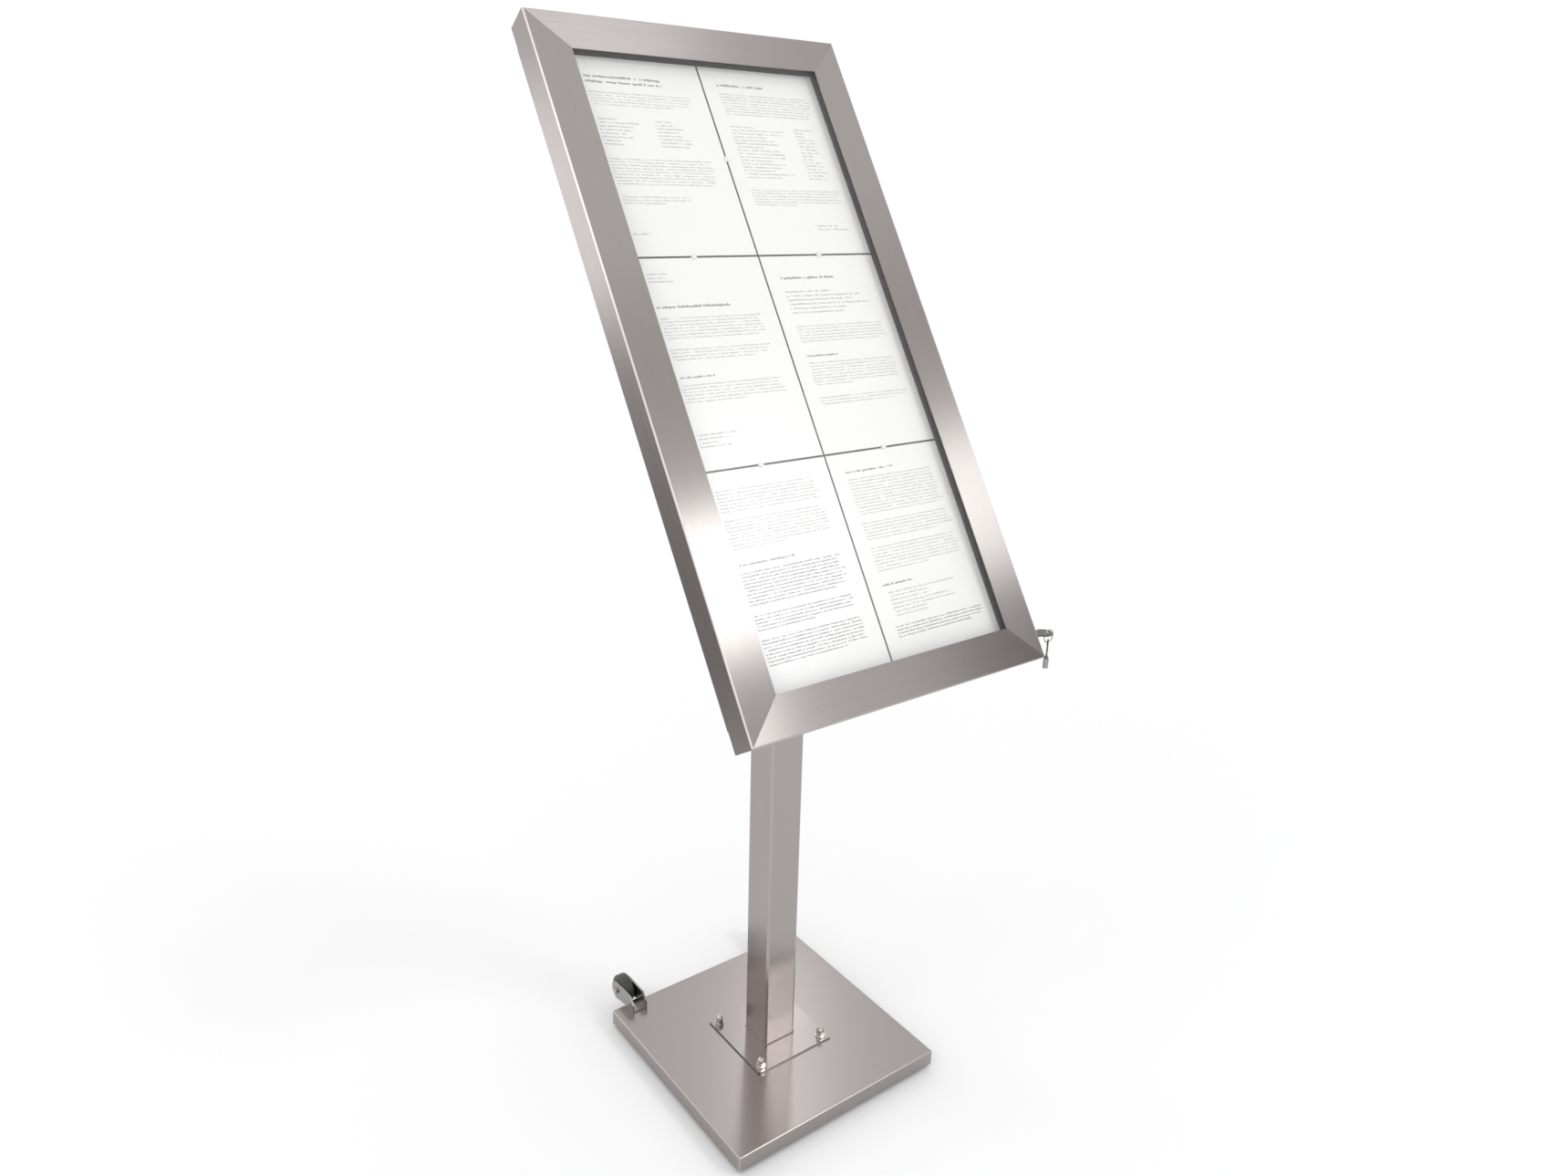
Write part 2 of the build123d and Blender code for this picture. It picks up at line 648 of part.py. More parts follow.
# Back of the case, display panel and sheets
flange_middles = [mid_height + end * (display_height + DISPLAY_FLANGE) / 2 for end in (-1, 1)]
display_rivet_places = [Pos(x, y) for y in flange_middles for x in spread(END_RIVETS, display_width)]
hinge_rivet_x = hinge_axis_x + HINGE_BARREL / 2 + (HINGE_FIXED_LEAF - HINGE_BARREL / 2) / 2
hinge_rivet_places = [Pos(hinge_rivet_x, mid_height + y) for y in spread(HINGE_RIVETS, hinge_length)]


def back_plate():
    """Shallow pan with its lip turned forwards, just inside the door's flanges."""
    width = 2 * (inside_x - BACK_CLEARANCE)
    height = CASE_HEIGHT - 2 * (FRAME_SHEET + BACK_CLEARANCE)
    pan = Rot(0, 180, 0) * folded_pan(width, height, BACK_LIP, BACK_SHEET, BACK_BEND)
    pan = Pos(0, mid_height, -FRAME_DEPTH) * pan
    pan = drilled(pan, [Pos(0, head_up) * place for place in head_bolt_places], HEAD_BOLT + 2 * HOLE_PLAY)
    pan = drilled(pan, display_rivet_places + hinge_rivet_places, RIVET + 2 * KEY_PLAY)
    return on_case(pan)


def display_panel():
    """Folded steel tray, face forwards, with a flange at each end on the back plate."""
    depth = back_front - DISPLAY_DEPTH
    tray = folded_pan(display_width, display_height, depth, DISPLAY_SHEET, DISPLAY_BEND)
    tray = Pos(0, mid_height, -DISPLAY_DEPTH) * tray
    flange = extrude(Rectangle(display_width - 2 * DISPLAY_BEND, DISPLAY_FLANGE), DISPLAY_SHEET)
    for y in flange_middles:
        tray = tray + Pos(0, y, -back_front) * flange
    tray = drilled(tray, display_rivet_places, RIVET + 2 * KEY_PLAY)
    for place in keeper_rivet_places:
        tray = tray - place * Cylinder(RIVET / 2 + KEY_PLAY, 2 * DISPLAY_FLANGE)
    return on_case(tray)


def display_rivets():
    one = Pos(0, 0, -FRAME_DEPTH) * Rot(0, 180, 0) * rivet(BACK_SHEET + DISPLAY_SHEET)
    return [on_case(place * one) for place in display_rivet_places]


def column_x(column):
    """Middle of a column of sheets; the columns share the middle of the case."""
    return (column - (len(PAPER_COLUMNS) - 1) / 2) * column_step


def row_y(row):
    """Middle of a row of sheets, counted from the lowest."""
    return mid_height + (row - (len(PAPER_ROWS) - 1) / 2) * row_step


def paper_sheet(column, row):
    sheet = extrude(Rectangle(PAPER_WIDTH, PAPER_HEIGHT), PAPER_THICKNESS)
    lift = column % 2 * column_lift + row % 2 * row_lift
    return on_case(Pos(column_x(column), row_y(row), lift - DISPLAY_DEPTH) * sheet)


def paper_magnets():
    """Button magnets: one over each gap between two rows, and one in the middle of the top row."""
    button = disc(MAGNET_DIAMETER, MAGNET_HEIGHT)
    button = fillet(button.edges().group_by(Axis.Z)[-1], MAGNET_HEIGHT * BUTTON_ROUND)
    row_gaps = [row_y(row + 0.5) for row in range(len(PAPER_ROWS) - 1)]
    places = [(column_x(column), y) for column in range(len(PAPER_COLUMNS)) for y in row_gaps]
    places.append((0, row_y(len(PAPER_ROWS) - 1)))
    return [on_case(Pos(x, y, -paper_front) * button) for x, y in places]


# Long hinge on the left rear edge
knuckle_step = hinge_length / HINGE_KNUCKLES
hinge_axis = Pos(hinge_axis_x, mid_height, -hinge_axis_depth) * Rot(-90, 0, 0)


def knuckle_bands(first):
    """Middles, along the hinge, of every second knuckle."""
    return [y for i, y in enumerate(spread(HINGE_KNUCKLES, hinge_length)) if i % 2 == first]


def with_knuckles(plate, first):
    """Cut room for the other leaf's knuckles into a leaf and add its own."""
    hinge_room = HINGE_BARREL + 2 * SOFT_PLAY
    barrel_length = knuckle_step - HINGE_KNUCKLE_GAP
    for y in knuckle_bands(1 - first):
        room = Cylinder(hinge_room / 2, knuckle_step + HINGE_KNUCKLE_GAP)
        plate = plate - hinge_axis * Pos(0, 0, y) * room
    for y in knuckle_bands(first):
        plate = plate + hinge_axis * Pos(0, 0, y) * Cylinder(HINGE_BARREL / 2, barrel_length)
    return plate - hinge_axis * Cylinder(HINGE_PIN / 2 + PIN_PLAY, 2 * hinge_length)


def hinge_fixed_leaf():
    """Leaf on the back of the case."""
    plate = Pos(hinge_axis_x, mid_height, -FRAME_DEPTH) * Box(
        HINGE_FIXED_LEAF, hinge_length, HINGE_SHEET, align=(Align.MIN, Align.CENTER, Align.MAX)
    )
    leaf = with_knuckles(plate, 1)
    return on_case(drilled(leaf, hinge_rivet_places, RIVET + 2 * KEY_PLAY))


def hinge_door_leaf():
    """Leaf inside the left stile's flange."""
    plate = Pos(-inside_x, mid_height, -hinge_axis_depth) * Box(
        HINGE_SHEET, hinge_length, HINGE_DOOR_LEAF, align=(Align.MIN, Align.CENTER, Align.MIN)
    )
    return on_case(with_knuckles(plate, 0))


def hinge_pin():
    return on_case(hinge_axis * Cylinder(HINGE_PIN / 2, hinge_length))


def hinge_rivets():
    one = Pos(0, 0, -FRAME_DEPTH - HINGE_SHEET) * Rot(0, 180, 0) * rivet(BACK_SHEET + HINGE_SHEET)
    return [on_case(place * one) for place in hinge_rivet_places]


# Lock in the right stile: its axis runs along x, +z of the shapes below points outwards
lock_axis = Pos(CASE_WIDTH / 2, LOCK_UP, -LOCK_DEPTH) * Rot(0, 90, 0)
plug_end = LOCK_LENGTH + HOLE_PLAY
key_bore = KEY_TUBE - 2 * KEY_TUBE_WALL
keyway_core = key_bore - 2 * KEY_PLAY
cam_inner = plug_end + HOLE_PLAY + CAM_THICKNESS
keeper_x = display_width / 2
keeper_front = LOCK_DEPTH - CAM_WIDTH / 2 - KEEPER_CAM_GAP - KEEPER_SHEET
keeper_up = LOCK_UP + KEEPER_OFFSET + KEEPER_WIDTH / 2
keeper_lap_start = DISPLAY_DEPTH + DISPLAY_BEND
keeper_lap_end = back_front - DISPLAY_SHEET - KEEPER_END_GAP
keeper_lap = keeper_lap_end - keeper_lap_start
keeper_rivet_places = [
    Pos(keeper_x + KEEPER_SHEET, keeper_up, -keeper_lap_start - share * keeper_lap) * Rot(0, 90, 0)
    for share in (0.75, 0.25)
]


def lock_barrel():
    """Turned body with a round head outside the stile."""
    head = disc(LOCK_HEAD, LOCK_HEAD_HEIGHT)
    head = fillet(head.edges().group_by(Axis.Z)[-1], LOCK_HEAD_HEIGHT * BUTTON_ROUND)
    body = head + Pos(0, 0, -LOCK_LENGTH) * disc(LOCK_BARREL, LOCK_LENGTH)
    return on_case(lock_axis * (body - Cylinder(PLUG_DIAMETER / 2 + PIN_PLAY, 4 * LOCK_LENGTH)))


def lock_nut():
    nut = hexagon(LOCK_NUT_FLATS, LOCK_NUT_HEIGHT, LOCK_BARREL + 2 * KEY_PLAY)
    return on_case(lock_axis * Pos(0, 0, -FRAME_SHEET - LOCK_NUT_HEIGHT) * nut)


def lock_plug():
    """Plug with a ring-shaped keyway outside and a square tail for the cam inside."""
    plug_front = LOCK_HEAD_HEIGHT - HOLE_PLAY
    plug = Pos(0, 0, -plug_end) * disc(PLUG_DIAMETER, plug_end + plug_front)
    keyway = Pos(0, 0, plug_front - KEYWAY_DEPTH) * disc(KEY_TUBE + 2 * KEY_PLAY, KEYWAY_DEPTH, keyway_core)
    tail = Pos(0, 0, -cam_inner + HOLE_PLAY) * extrude(Rectangle(PLUG_TAIL, PLUG_TAIL), CAM_THICKNESS)
    bore = Pos(0, 0, -cam_inner) * disc(CAM_SCREW + 2 * KEY_PLAY, CAM_SCREW_LENGTH + HOLE_PLAY)
    return on_case(lock_axis * (plug - keyway + tail - bore))


def lock_cam():
    """Flat lever on the plug's tail, pointing to the back of the case while unlocked."""
    between_ends = CAM_LENGTH - CAM_WIDTH / 2
    outline = Pos(between_ends / 2, 0) * SlotCenterToCenter(between_ends, CAM_WIDTH)
    tail_room = PLUG_TAIL + 2 * KEY_PLAY
    cam = extrude(outline - Rectangle(tail_room, tail_room), CAM_THICKNESS)
    return on_case(lock_axis * Pos(0, 0, -cam_inner) * cam)


def cam_screw():
    one = screw(CAM_SCREW, CAM_SCREW_LENGTH, CAM_SCREW_HEAD, CAM_SCREW_HEAD_HEIGHT)
    return on_case(lock_axis * Pos(0, 0, -cam_inner) * Rot(180, 0, 0) * one)


def lock_keeper():
    """Bent bracket on the display panel's side; the locked cam turns up behind its lip."""
    corner = (keeper_x, -keeper_front)
    lip_end = (keeper_x + KEEPER_LIP, -keeper_front)
    line = FilletPolyline((keeper_x, -keeper_lap_end), corner, lip_end, radius=KEEPER_BEND)
    section = make_face(offset(line, KEEPER_SHEET, side=Side.RIGHT))
    bracket = Pos(0, keeper_up) * extrude(Plane.XZ * section, KEEPER_WIDTH / 2, both=True)
    for place in keeper_rivet_places:
        bracket = bracket - place * Cylinder(RIVET / 2 + KEY_PLAY, 2 * DISPLAY_FLANGE)
    return on_case(bracket)


def keeper_rivets():
    return [on_case(place * rivet(KEEPER_SHEET + DISPLAY_SHEET)) for place in keeper_rivet_places]


# Keys: a tube that fits the keyway, a neck pressed flat and a round bow with a hole
bow_centre = KEY_TUBE_LENGTH + KEY_NECK + KEY_BOW / 2 - KEY_RIM
hole_offset = KEY_BOW / 2 - KEY_RIM - KEY_HOLE / 2
key_tip = LOCK_HEAD_HEIGHT - KEYWAY_DEPTH
lock_point = on_case(lock_axis).position
key_place = Pos(lock_point.X + key_tip, lock_point.Y, lock_point.Z)


def key_shape():
    """Key along +x from the tip of its tube, its bow flat in the XY plane."""
    tube = Rot(0, 90, 0) * disc(KEY_TUBE, KEY_TUBE_LENGTH)
    neck_start = Plane(origin=(KEY_TUBE_LENGTH, 0, 0), z_dir=(1, 0, 0))
    neck_end = Plane(origin=(KEY_TUBE_LENGTH + KEY_NECK, 0, 0), x_dir=(0, 1, 0), z_dir=(1, 0, 0))
    flat = RectangleRounded(KEY_NECK_WIDTH, KEY_BOW_THICKNESS, KEY_BOW_EDGE)
    neck = loft([neck_start * Circle(KEY_TUBE / 2), neck_end * flat])
    bow = Pos(bow_centre, 0, -KEY_BOW_THICKNESS / 2) * disc(KEY_BOW, KEY_BOW_THICKNESS)
    bow = bow - Pos(bow_centre + hole_offset, 0) * Cylinder(KEY_HOLE / 2, 2 * KEY_BOW_THICKNESS)
    bow = fillet(bow.edges().filter_by(GeomType.CIRCLE), KEY_BOW_EDGE)
    bore = Rot(0, 90, 0) * disc(key_bore, KEY_BORE_DEPTH)
    return tube + neck + bow - bore


def lock_key():
    return key_place * key_shape()


# The ring goes through the bow's hole and round its outer rim
ring_inner = RING_RADIUS - RING_WIRE / 2
rim_middle = bow_centre + KEY_BOW / 2 - KEY_RIM / 2
ring_drop = sqrt(ring_inner**2 - (KEY_RIM / 2) ** 2) - KEY_BOW_THICKNESS / 2 - RING_SEAT_GAP
ring_place = key_place * Pos(rim_middle, 0, -ring_drop)
spare_hang = RING_RADIUS - RING_WIRE / 2 - SPARE_KEY_DROP + KEY_HOLE / 2


def key_ring():
    return ring_place * Rot(90, 0, 0) * Torus(RING_RADIUS, RING_WIRE / 2)


def spare_key():
    """The same key, hanging from the lowest point of the ring."""
    hole_at_origin = Pos(-bow_centre - hole_offset, 0) * key_shape()
    hanging = Rot(0, 0, SPARE_KEY_TWIST) * Rot(0, 90, 0) * Rot(0, 0, 180) * hole_at_origin
    return ring_place * Pos(0, 0, -spare_hang) * hanging


washer_places = [Pos(0, 0, flange_top) * place for place in stud_places]
nut_places = [Pos(0, 0, WASHER_THICKNESS) * place for place in washer_places]

nodes = {
    "base_pan": base_pan(),
    "ballast_plate": ballast_plate(),
    "base_feet": at_each(foot_places, foot()),
    "foot_screws": at_each(foot_places, foot_screw()),
    "flange_plate": flange_plate(),
    "flange_studs": at_each(stud_places, flange_stud()),
    "flange_washers": at_each(washer_places, disc(WASHER_DIAMETER, WASHER_THICKNESS, STUD + 2 * HOLE_PLAY)),
    "dome_nuts": at_each(nut_places, dome_nut()),
    "post_tube": post_tube(),
    "post_foot_weld": post_foot_weld(),
    "post_head_weld": post_head_weld(),
    "head_plate": head_plate(),
    "head_stiffener": head_stiffener(),
    "head_bolts": head_bolts(),
    "head_nuts": head_nuts(),
    "castor_screws": castor_screws(),
    "back_plate": back_plate(),
    "display_panel": display_panel(),
    "display_rivets": display_rivets(),
    "paper_magnets": paper_magnets(),
    "hinge_fixed_leaf": hinge_fixed_leaf(),
    "hinge_door_leaf": hinge_door_leaf(),
    "hinge_pin": hinge_pin(),
    "hinge_rivets": hinge_rivets(),
    "glazing_pane": glazing_pane(),
    "pane_clips": pane_clips(),
    "pane_clip_nuts": pane_clip_nuts(),
    "door_seal": door_seal(),
    "lock_barrel": lock_barrel(),
    "lock_nut": lock_nut(),
    "lock_plug": lock_plug(),
    "lock_cam": lock_cam(),
    "cam_screw": cam_screw(),
    "lock_keeper": lock_keeper(),
    "keeper_rivets": keeper_rivets(),
    "lock_key": lock_key(),
    "key_ring": key_ring(),
    "spare_key": spare_key(),
}
for name in members:
    nodes[name] = door_member(name)
for side, side_name in ((-1, "left"), (1, "right")):
    nodes[f"castor_bracket_{side_name}"] = castor_bracket(side)
    nodes[f"wheel_tyre_{side_name}"] = wheel_tyre(side)
    nodes[f"wheel_hub_{side_name}"] = wheel_hub(side)
    nodes[f"axle_bolt_{side_name}"] = axle_bolt(side)
    nodes[f"axle_nut_{side_name}"] = axle_nut(side)
for column, column_name in enumerate(PAPER_COLUMNS):
    for row, row_name in enumerate(PAPER_ROWS):
        nodes[f"sheet_{row_name}_{column_name}"] = paper_sheet(column, row)

os.makedirs("parts", exist_ok=True)
for name, shape in nodes.items():
    pieces = shape if isinstance(shape, list) else [shape]
    solids = [solid for piece in pieces for solid in piece.solids()]
    whole = solids[0] if len(solids) == 1 else Compound(solids)
    whole.label = name
    export_step(whole, f"parts/{name}.step")
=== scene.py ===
"""Finishes, printed sheets and studio for a leaning information display case on a post."""

import math
from collections import namedtuple

import bmesh
import bpy
from mathutils import Euler, Matrix, Vector


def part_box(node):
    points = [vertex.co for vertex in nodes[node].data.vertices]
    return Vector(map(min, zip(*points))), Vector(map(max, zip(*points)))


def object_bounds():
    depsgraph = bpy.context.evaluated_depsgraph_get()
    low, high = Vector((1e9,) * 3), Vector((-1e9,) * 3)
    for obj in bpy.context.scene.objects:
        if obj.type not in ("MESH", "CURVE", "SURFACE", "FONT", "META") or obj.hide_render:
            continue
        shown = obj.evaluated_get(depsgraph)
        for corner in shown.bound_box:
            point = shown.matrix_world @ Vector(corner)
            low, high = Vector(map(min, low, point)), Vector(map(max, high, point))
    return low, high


bl_info = {
    "name": "Information Display Case",
    "version": (1, 0, 0),
    "blender": (4, 5, 0),
    "location": "View3D > Sidebar > Display Case",
    "description": "Finishes, printed sheets and studio for a leaning display case on a post",
    "category": "Object",
}

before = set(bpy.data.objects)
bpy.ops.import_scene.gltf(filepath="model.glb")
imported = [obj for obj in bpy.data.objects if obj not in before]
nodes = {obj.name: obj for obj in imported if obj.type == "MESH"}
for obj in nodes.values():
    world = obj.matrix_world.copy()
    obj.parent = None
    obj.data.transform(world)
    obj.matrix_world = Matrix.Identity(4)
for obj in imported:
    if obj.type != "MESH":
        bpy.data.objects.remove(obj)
cad_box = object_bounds()

MM = 0.001
WHITE = (1.0, 1.0, 1.0)

# The case leans back, so its own upright axis is turned about X from the world's Y.
CASE_LEAN = 33.0
CASE_TURN = math.radians(90.0 - CASE_LEAN)
CASE_ROTATION = (CASE_TURN, 0.0, 0.0)
UPRIGHT = (0.0, 0.0, 0.0)
ALONG_X, ALONG_Y, ALONG_Z = range(3)

# How straight a normal stands along an axis, at least, on the faces of folds, of plates and of thin sheet.
FOLD_FACE = 0.975
PLATE_FACE = 0.9
SHEET_FACE = 0.5

# Brushing: the streaks' lengths, how many grains wide the broad ones are, and how far
# streaks and clouds change the colour, the roughness and the surface.
FINE_LENGTH = 0.12
BROAD_LENGTH = 0.7
BROAD_WIDTH = 9.0
STREAK_DETAIL = 2.0
FINE_SHARE = 0.55
STREAK_TONE = 0.1
STREAK_BLUR = 0.17
STREAK_RELIEF = 0.00006
STEEL_CLOUD_SCALE = 5.0
STEEL_CLOUD_BLUR = 0.1
QUARTER_TURN = 0.25

# Polished metal: the scale and depth of its handling marks, and the tones of its clouds.
MARK_SCALE = 420.0
MARK_RELIEF = 0.00003
METAL_CLOUD_SCALE = 60.0
METAL_TONES = (0.86, 1.12)

# Dull coats: the tones of their clouds, and how far their skin changes the roughness.
COAT_CLOUD_SCALE = 14.0
COAT_TONES = (0.8, 1.25)
COAT_BLUR = 0.08

# Paper: its fibres, its clouds and the roughness between them.
FIBRE_SCALE = 900.0
FIBRE_RELIEF = 0.00002
PAPER_CLOUD_SCALE = 7.0
PAPER_TONES = (0.985, 1.015)
PAPER_ROUGHNESS = (0.72, 0.88)

# Print, in shares of the pitch from line to line. A letter's draw from 0 to 1 makes it
# a gap, a letter that reaches low, a plain one or one that reaches high.
LETTERS_PER_PITCH = 3.0
LETTER_TOP = 0.4
LETTER_FOOT = 0.68
HIGH_REACH = 0.15
LOW_REACH = 0.13
GAP_BELOW = 0.16
LOW_BELOW = 0.24
HIGH_ABOVE = 0.72
LETTER_WIDTHS = (0.66, 1.0)
LAST_LINE_LOSS = 0.6
LINE_DRAW = -7.0
SHEET_SEED = 3.1
BLOCK_SEED = 0.37

# The bright tube of the hanging key: its share of the key's height, and how softly it ends.
TUBE_SHARE = 0.36
TUBE_BLUR = 0.03

# Camera and floor
SENSOR_WIDTH = 36.0
NEAR_CLIP = 0.02
FLOOR_SEGMENTS = 96
FLOOR_FADE_FROM = 0.35
FLOOR_FADE_TO = 0.98

# Softboxes lie level across the case, or across the camera's view.
ACROSS_CASE = (1.0, 0.0, 0.0)
ACROSS_VIEW = (0.78, -0.63, 0.0)
POST_FOOT = (0.0, 0.0, 0.0)

# Grey cards, set away from the origin and then turned round it, and one over the key light.
LYING_CARD_TURN = math.radians(34.0)
LYING_CARD_AWAY = (0.0, 4.9, 0.01)
LYING_CARD_SIZE = (7.2, 7.0)
STANDING_CARD_TURN = math.radians(58.0)
STANDING_CARD_AWAY = (0.0, -2.6, 1.07)
STANDING_CARD_SIZE = (1.5, 2.14)
OVER_CARD_PLACE = (6.6, -5.67, 9.44)
OVER_CARD_SIZE = (9.0, 1.7)
PALE_CARD = 3.4

CASE_UPRIGHTS = ["door_left_stile", "door_right_stile", "hinge_fixed_leaf", "hinge_door_leaf", "back_plate"]
CASE_RAILS = ["door_top_rail", "door_bottom_rail", "head_plate", "head_stiffener", "lock_keeper"]
POST_PIECES = ["post_tube"]
BASE_PIECES = ["base_pan"]
FLANGE_PIECES = ["flange_plate"]
WELDS = ["post_foot_weld", "post_head_weld"]
FASTENERS = [
    "dome_nuts",
    "flange_washers",
    "flange_studs",
    "foot_screws",
    "head_bolts",
    "head_nuts",
    "castor_screws",
    "display_rivets",
    "hinge_pin",
    "hinge_rivets",
    "pane_clips",
    "pane_clip_nuts",
    "keeper_rivets",
    "axle_bolt_left",
    "axle_bolt_right",
    "axle_nut_left",
    "axle_nut_right",
]
LOCK_PIECES = ["lock_barrel", "lock_nut", "lock_plug", "lock_cam", "cam_screw"]
KEYS = ["lock_key", "spare_key"]
CASTOR_BRACKETS = ["castor_bracket_left", "castor_bracket_right"]
TYRES = ["wheel_tyre_left", "wheel_tyre_right"]
HUBS = ["wheel_hub_left", "wheel_hub_right"]

# A block of print on a sheet, in millimetres from the sheet's top left corner.
# Heavy print has thick letters, and a list has lines of very different lengths.
Block = namedtuple("Block", "left top width lines pitch weight ragged")
MARGIN = 24
FULL_WIDTH = 162


def heading(left, top, width, lines=1, pitch=8.0):
    return Block(left, top, width, lines, pitch, weight=0.8, ragged=0.25)


def small_heading(left, top, width):
    return heading(left, top, width, pitch=6.5)


def paragraph(left, top, width, lines, pitch=4.6, weight=0.5):
    return Block(left, top, width, lines, pitch, weight, ragged=0.06)


def dark_paragraph(left, top, width, lines):
    return paragraph(left, top, width, lines, weight=0.78)


def column(left, top, width, lines, pitch=5.4):
    return Block(left, top, width, lines, pitch, weight=0.5, ragged=0.7)


SHEETS = {
    "sheet_upper_left": [
        heading(MARGIN, 26, 120, 2),
        paragraph(MARGIN, 52, FULL_WIDTH, 5),
        column(MARGIN, 92, 70, 8),
        column(112, 92, 70, 8),
        paragraph(MARGIN, 152, FULL_WIDTH, 9),
        paragraph(MARGIN, 208, 110, 3),
        column(MARGIN, 262, 60, 1),
    ],
    "sheet_upper_right": [
        heading(MARGIN, 24, 96),
        paragraph(MARGIN, 40, FULL_WIDTH, 8),
        column(MARGIN, 92, 96, 16),
        column(138, 92, 42, 16),
        paragraph(MARGIN, 194, FULL_WIDTH, 6),
        column(120, 250, 62, 2),
    ],
    "sheet_middle_left": [
        column(MARGIN, 20, 76, 3),
        heading(MARGIN, 66, 140),
        paragraph(MARGIN, 84, FULL_WIDTH, 7),
        paragraph(MARGIN, 128, FULL_WIDTH, 4),
        small_heading(MARGIN, 166, 72),
        paragraph(MARGIN, 178, FULL_WIDTH, 6),
        column(MARGIN, 246, 84, 4),
    ],
    "sheet_middle_right": [
        heading(MARGIN, 30, 110),
        column(MARGIN, 52, 150, 6, pitch=6.4),
        paragraph(MARGIN, 106, FULL_WIDTH, 6),
        small_heading(MARGIN, 150, 64),
        paragraph(MARGIN, 162, FULL_WIDTH, 8),
        paragraph(MARGIN, 214, FULL_WIDTH, 3),
    ],
    "sheet_lower_left": [
        paragraph(MARGIN, 24, FULL_WIDTH, 7),
        paragraph(MARGIN, 64, FULL_WIDTH, 9),
        small_heading(MARGIN, 122, 104),
        dark_paragraph(MARGIN, 134, FULL_WIDTH, 10),
        dark_paragraph(MARGIN, 190, FULL_WIDTH, 5),
        dark_paragraph(MARGIN, 222, FULL_WIDTH, 8),
    ],
    "sheet_lower_right": [
        small_heading(MARGIN, 24, 88),
        paragraph(MARGIN, 36, FULL_WIDTH, 12),
        paragraph(MARGIN, 100, FULL_WIDTH, 6),
        paragraph(MARGIN, 136, FULL_WIDTH, 8),
        small_heading(MARGIN, 188, 60),
        column(30, 200, 150, 7),
        dark_paragraph(MARGIN, 248, FULL_WIDTH, 4),
    ],
}


class CaseFinishes(bpy.types.PropertyGroup):
    """Colours and gloss of the case, its sheets and its wheels."""

    steel: bpy.props.FloatVectorProperty(
        name="Brushed Steel",
        description="Colour of the frame, post and base",
        subtype="COLOR",
        min=0.0,
        max=1.0,
        default=(0.385, 0.352, 0.343),
    )
    steel_roughness: bpy.props.FloatProperty(
        name="Steel Roughness",
        description="How far the brushing blurs what the steel mirrors",
        subtype="FACTOR",
        min=0.05,
        max=1.0,
        default=0.29,
    )
    steel_stretch: bpy.props.FloatProperty(
        name="Steel Stretch",
        description="How much further the brushing blurs across its streaks than along them",
        subtype="FACTOR",
        min=0.0,
        max=1.0,
        default=1.0,
    )
    # A painted highlight: how much brighter the steel's bends are painted than its faces.
    bend_highlight: bpy.props.FloatProperty(
        name="Bend Highlight",
        description="How many times brighter the rubbed bends are than the faces",
        min=1.0,
        max=2.5,
        default=2.2,
    )
    grain: bpy.props.FloatProperty(
        name="Grain Width",
        description="Width of the brushing's fine streaks",
        subtype="DISTANCE",
        unit="LENGTH",
        min=0.0001,
        max=0.01,
        default=0.0007,
    )
    bright: bpy.props.FloatVectorProperty(
        name="Bright Metal",
        description="Colour of nuts, bolts and rivets",
        subtype="COLOR",
        min=0.0,
        max=1.0,
        default=(0.55, 0.52, 0.5),
    )
    nickel: bpy.props.FloatVectorProperty(
        name="Nickel",
        description="Colour of the lock",
        subtype="COLOR",
        min=0.0,
        max=1.0,
        default=(0.5, 0.47, 0.44),
    )
    key: bpy.props.FloatVectorProperty(
        name="Keys",
        description="Colour of the keys and their ring",
        subtype="COLOR",
        min=0.0,
        max=1.0,
        default=(0.13, 0.115, 0.108),
    )
    paper: bpy.props.FloatVectorProperty(
        name="Paper",
        description="Colour of the sheets",
        subtype="COLOR",
        min=0.0,
        max=1.0,
        default=(0.9, 0.89, 0.88),
    )
    ink: bpy.props.FloatVectorProperty(
        name="Print",
        description="Colour of the printed lines",
        subtype="COLOR",
        min=0.0,
        max=1.0,
        default=(0.16, 0.155, 0.155),
    )
    panel: bpy.props.FloatVectorProperty(
        name="Display Panel",
        description="Colour of the painted panel behind the sheets",
        subtype="COLOR",
        min=0.0,
        max=1.0,
        default=(0.035, 0.034, 0.034),
    )
    magnet: bpy.props.FloatVectorProperty(
        name="Magnets",
        description="Colour of the magnets' plastic caps",
        subtype="COLOR",
        min=0.0,
        max=1.0,
        default=(0.82, 0.81, 0.79),
    )
    seal: bpy.props.FloatVectorProperty(
        name="Seal",
        description="Colour of the rubber seal and feet",
        subtype="COLOR",
        min=0.0,
        max=1.0,
        default=(0.022, 0.019, 0.018),
    )
    tyre: bpy.props.FloatVectorProperty(
        name="Tyres",
        description="Colour of the wheels' rubber",
        subtype="COLOR",
        min=0.0,
        max=1.0,
        default=(0.056, 0.057, 0.052),
    )
    hub: bpy.props.FloatVectorProperty(
        name="Hubs",
        description="Colour of the wheels' plastic",
        subtype="COLOR",
        min=0.0,
        max=1.0,
        default=(0.12, 0.12, 0.12),
    )
    ballast: bpy.props.FloatVectorProperty(
        name="Ballast",
        description="Colour of the painted weight under the base",
        subtype="COLOR",
        min=0.0,
        max=1.0,
        default=(0.03, 0.03, 0.031),
    )


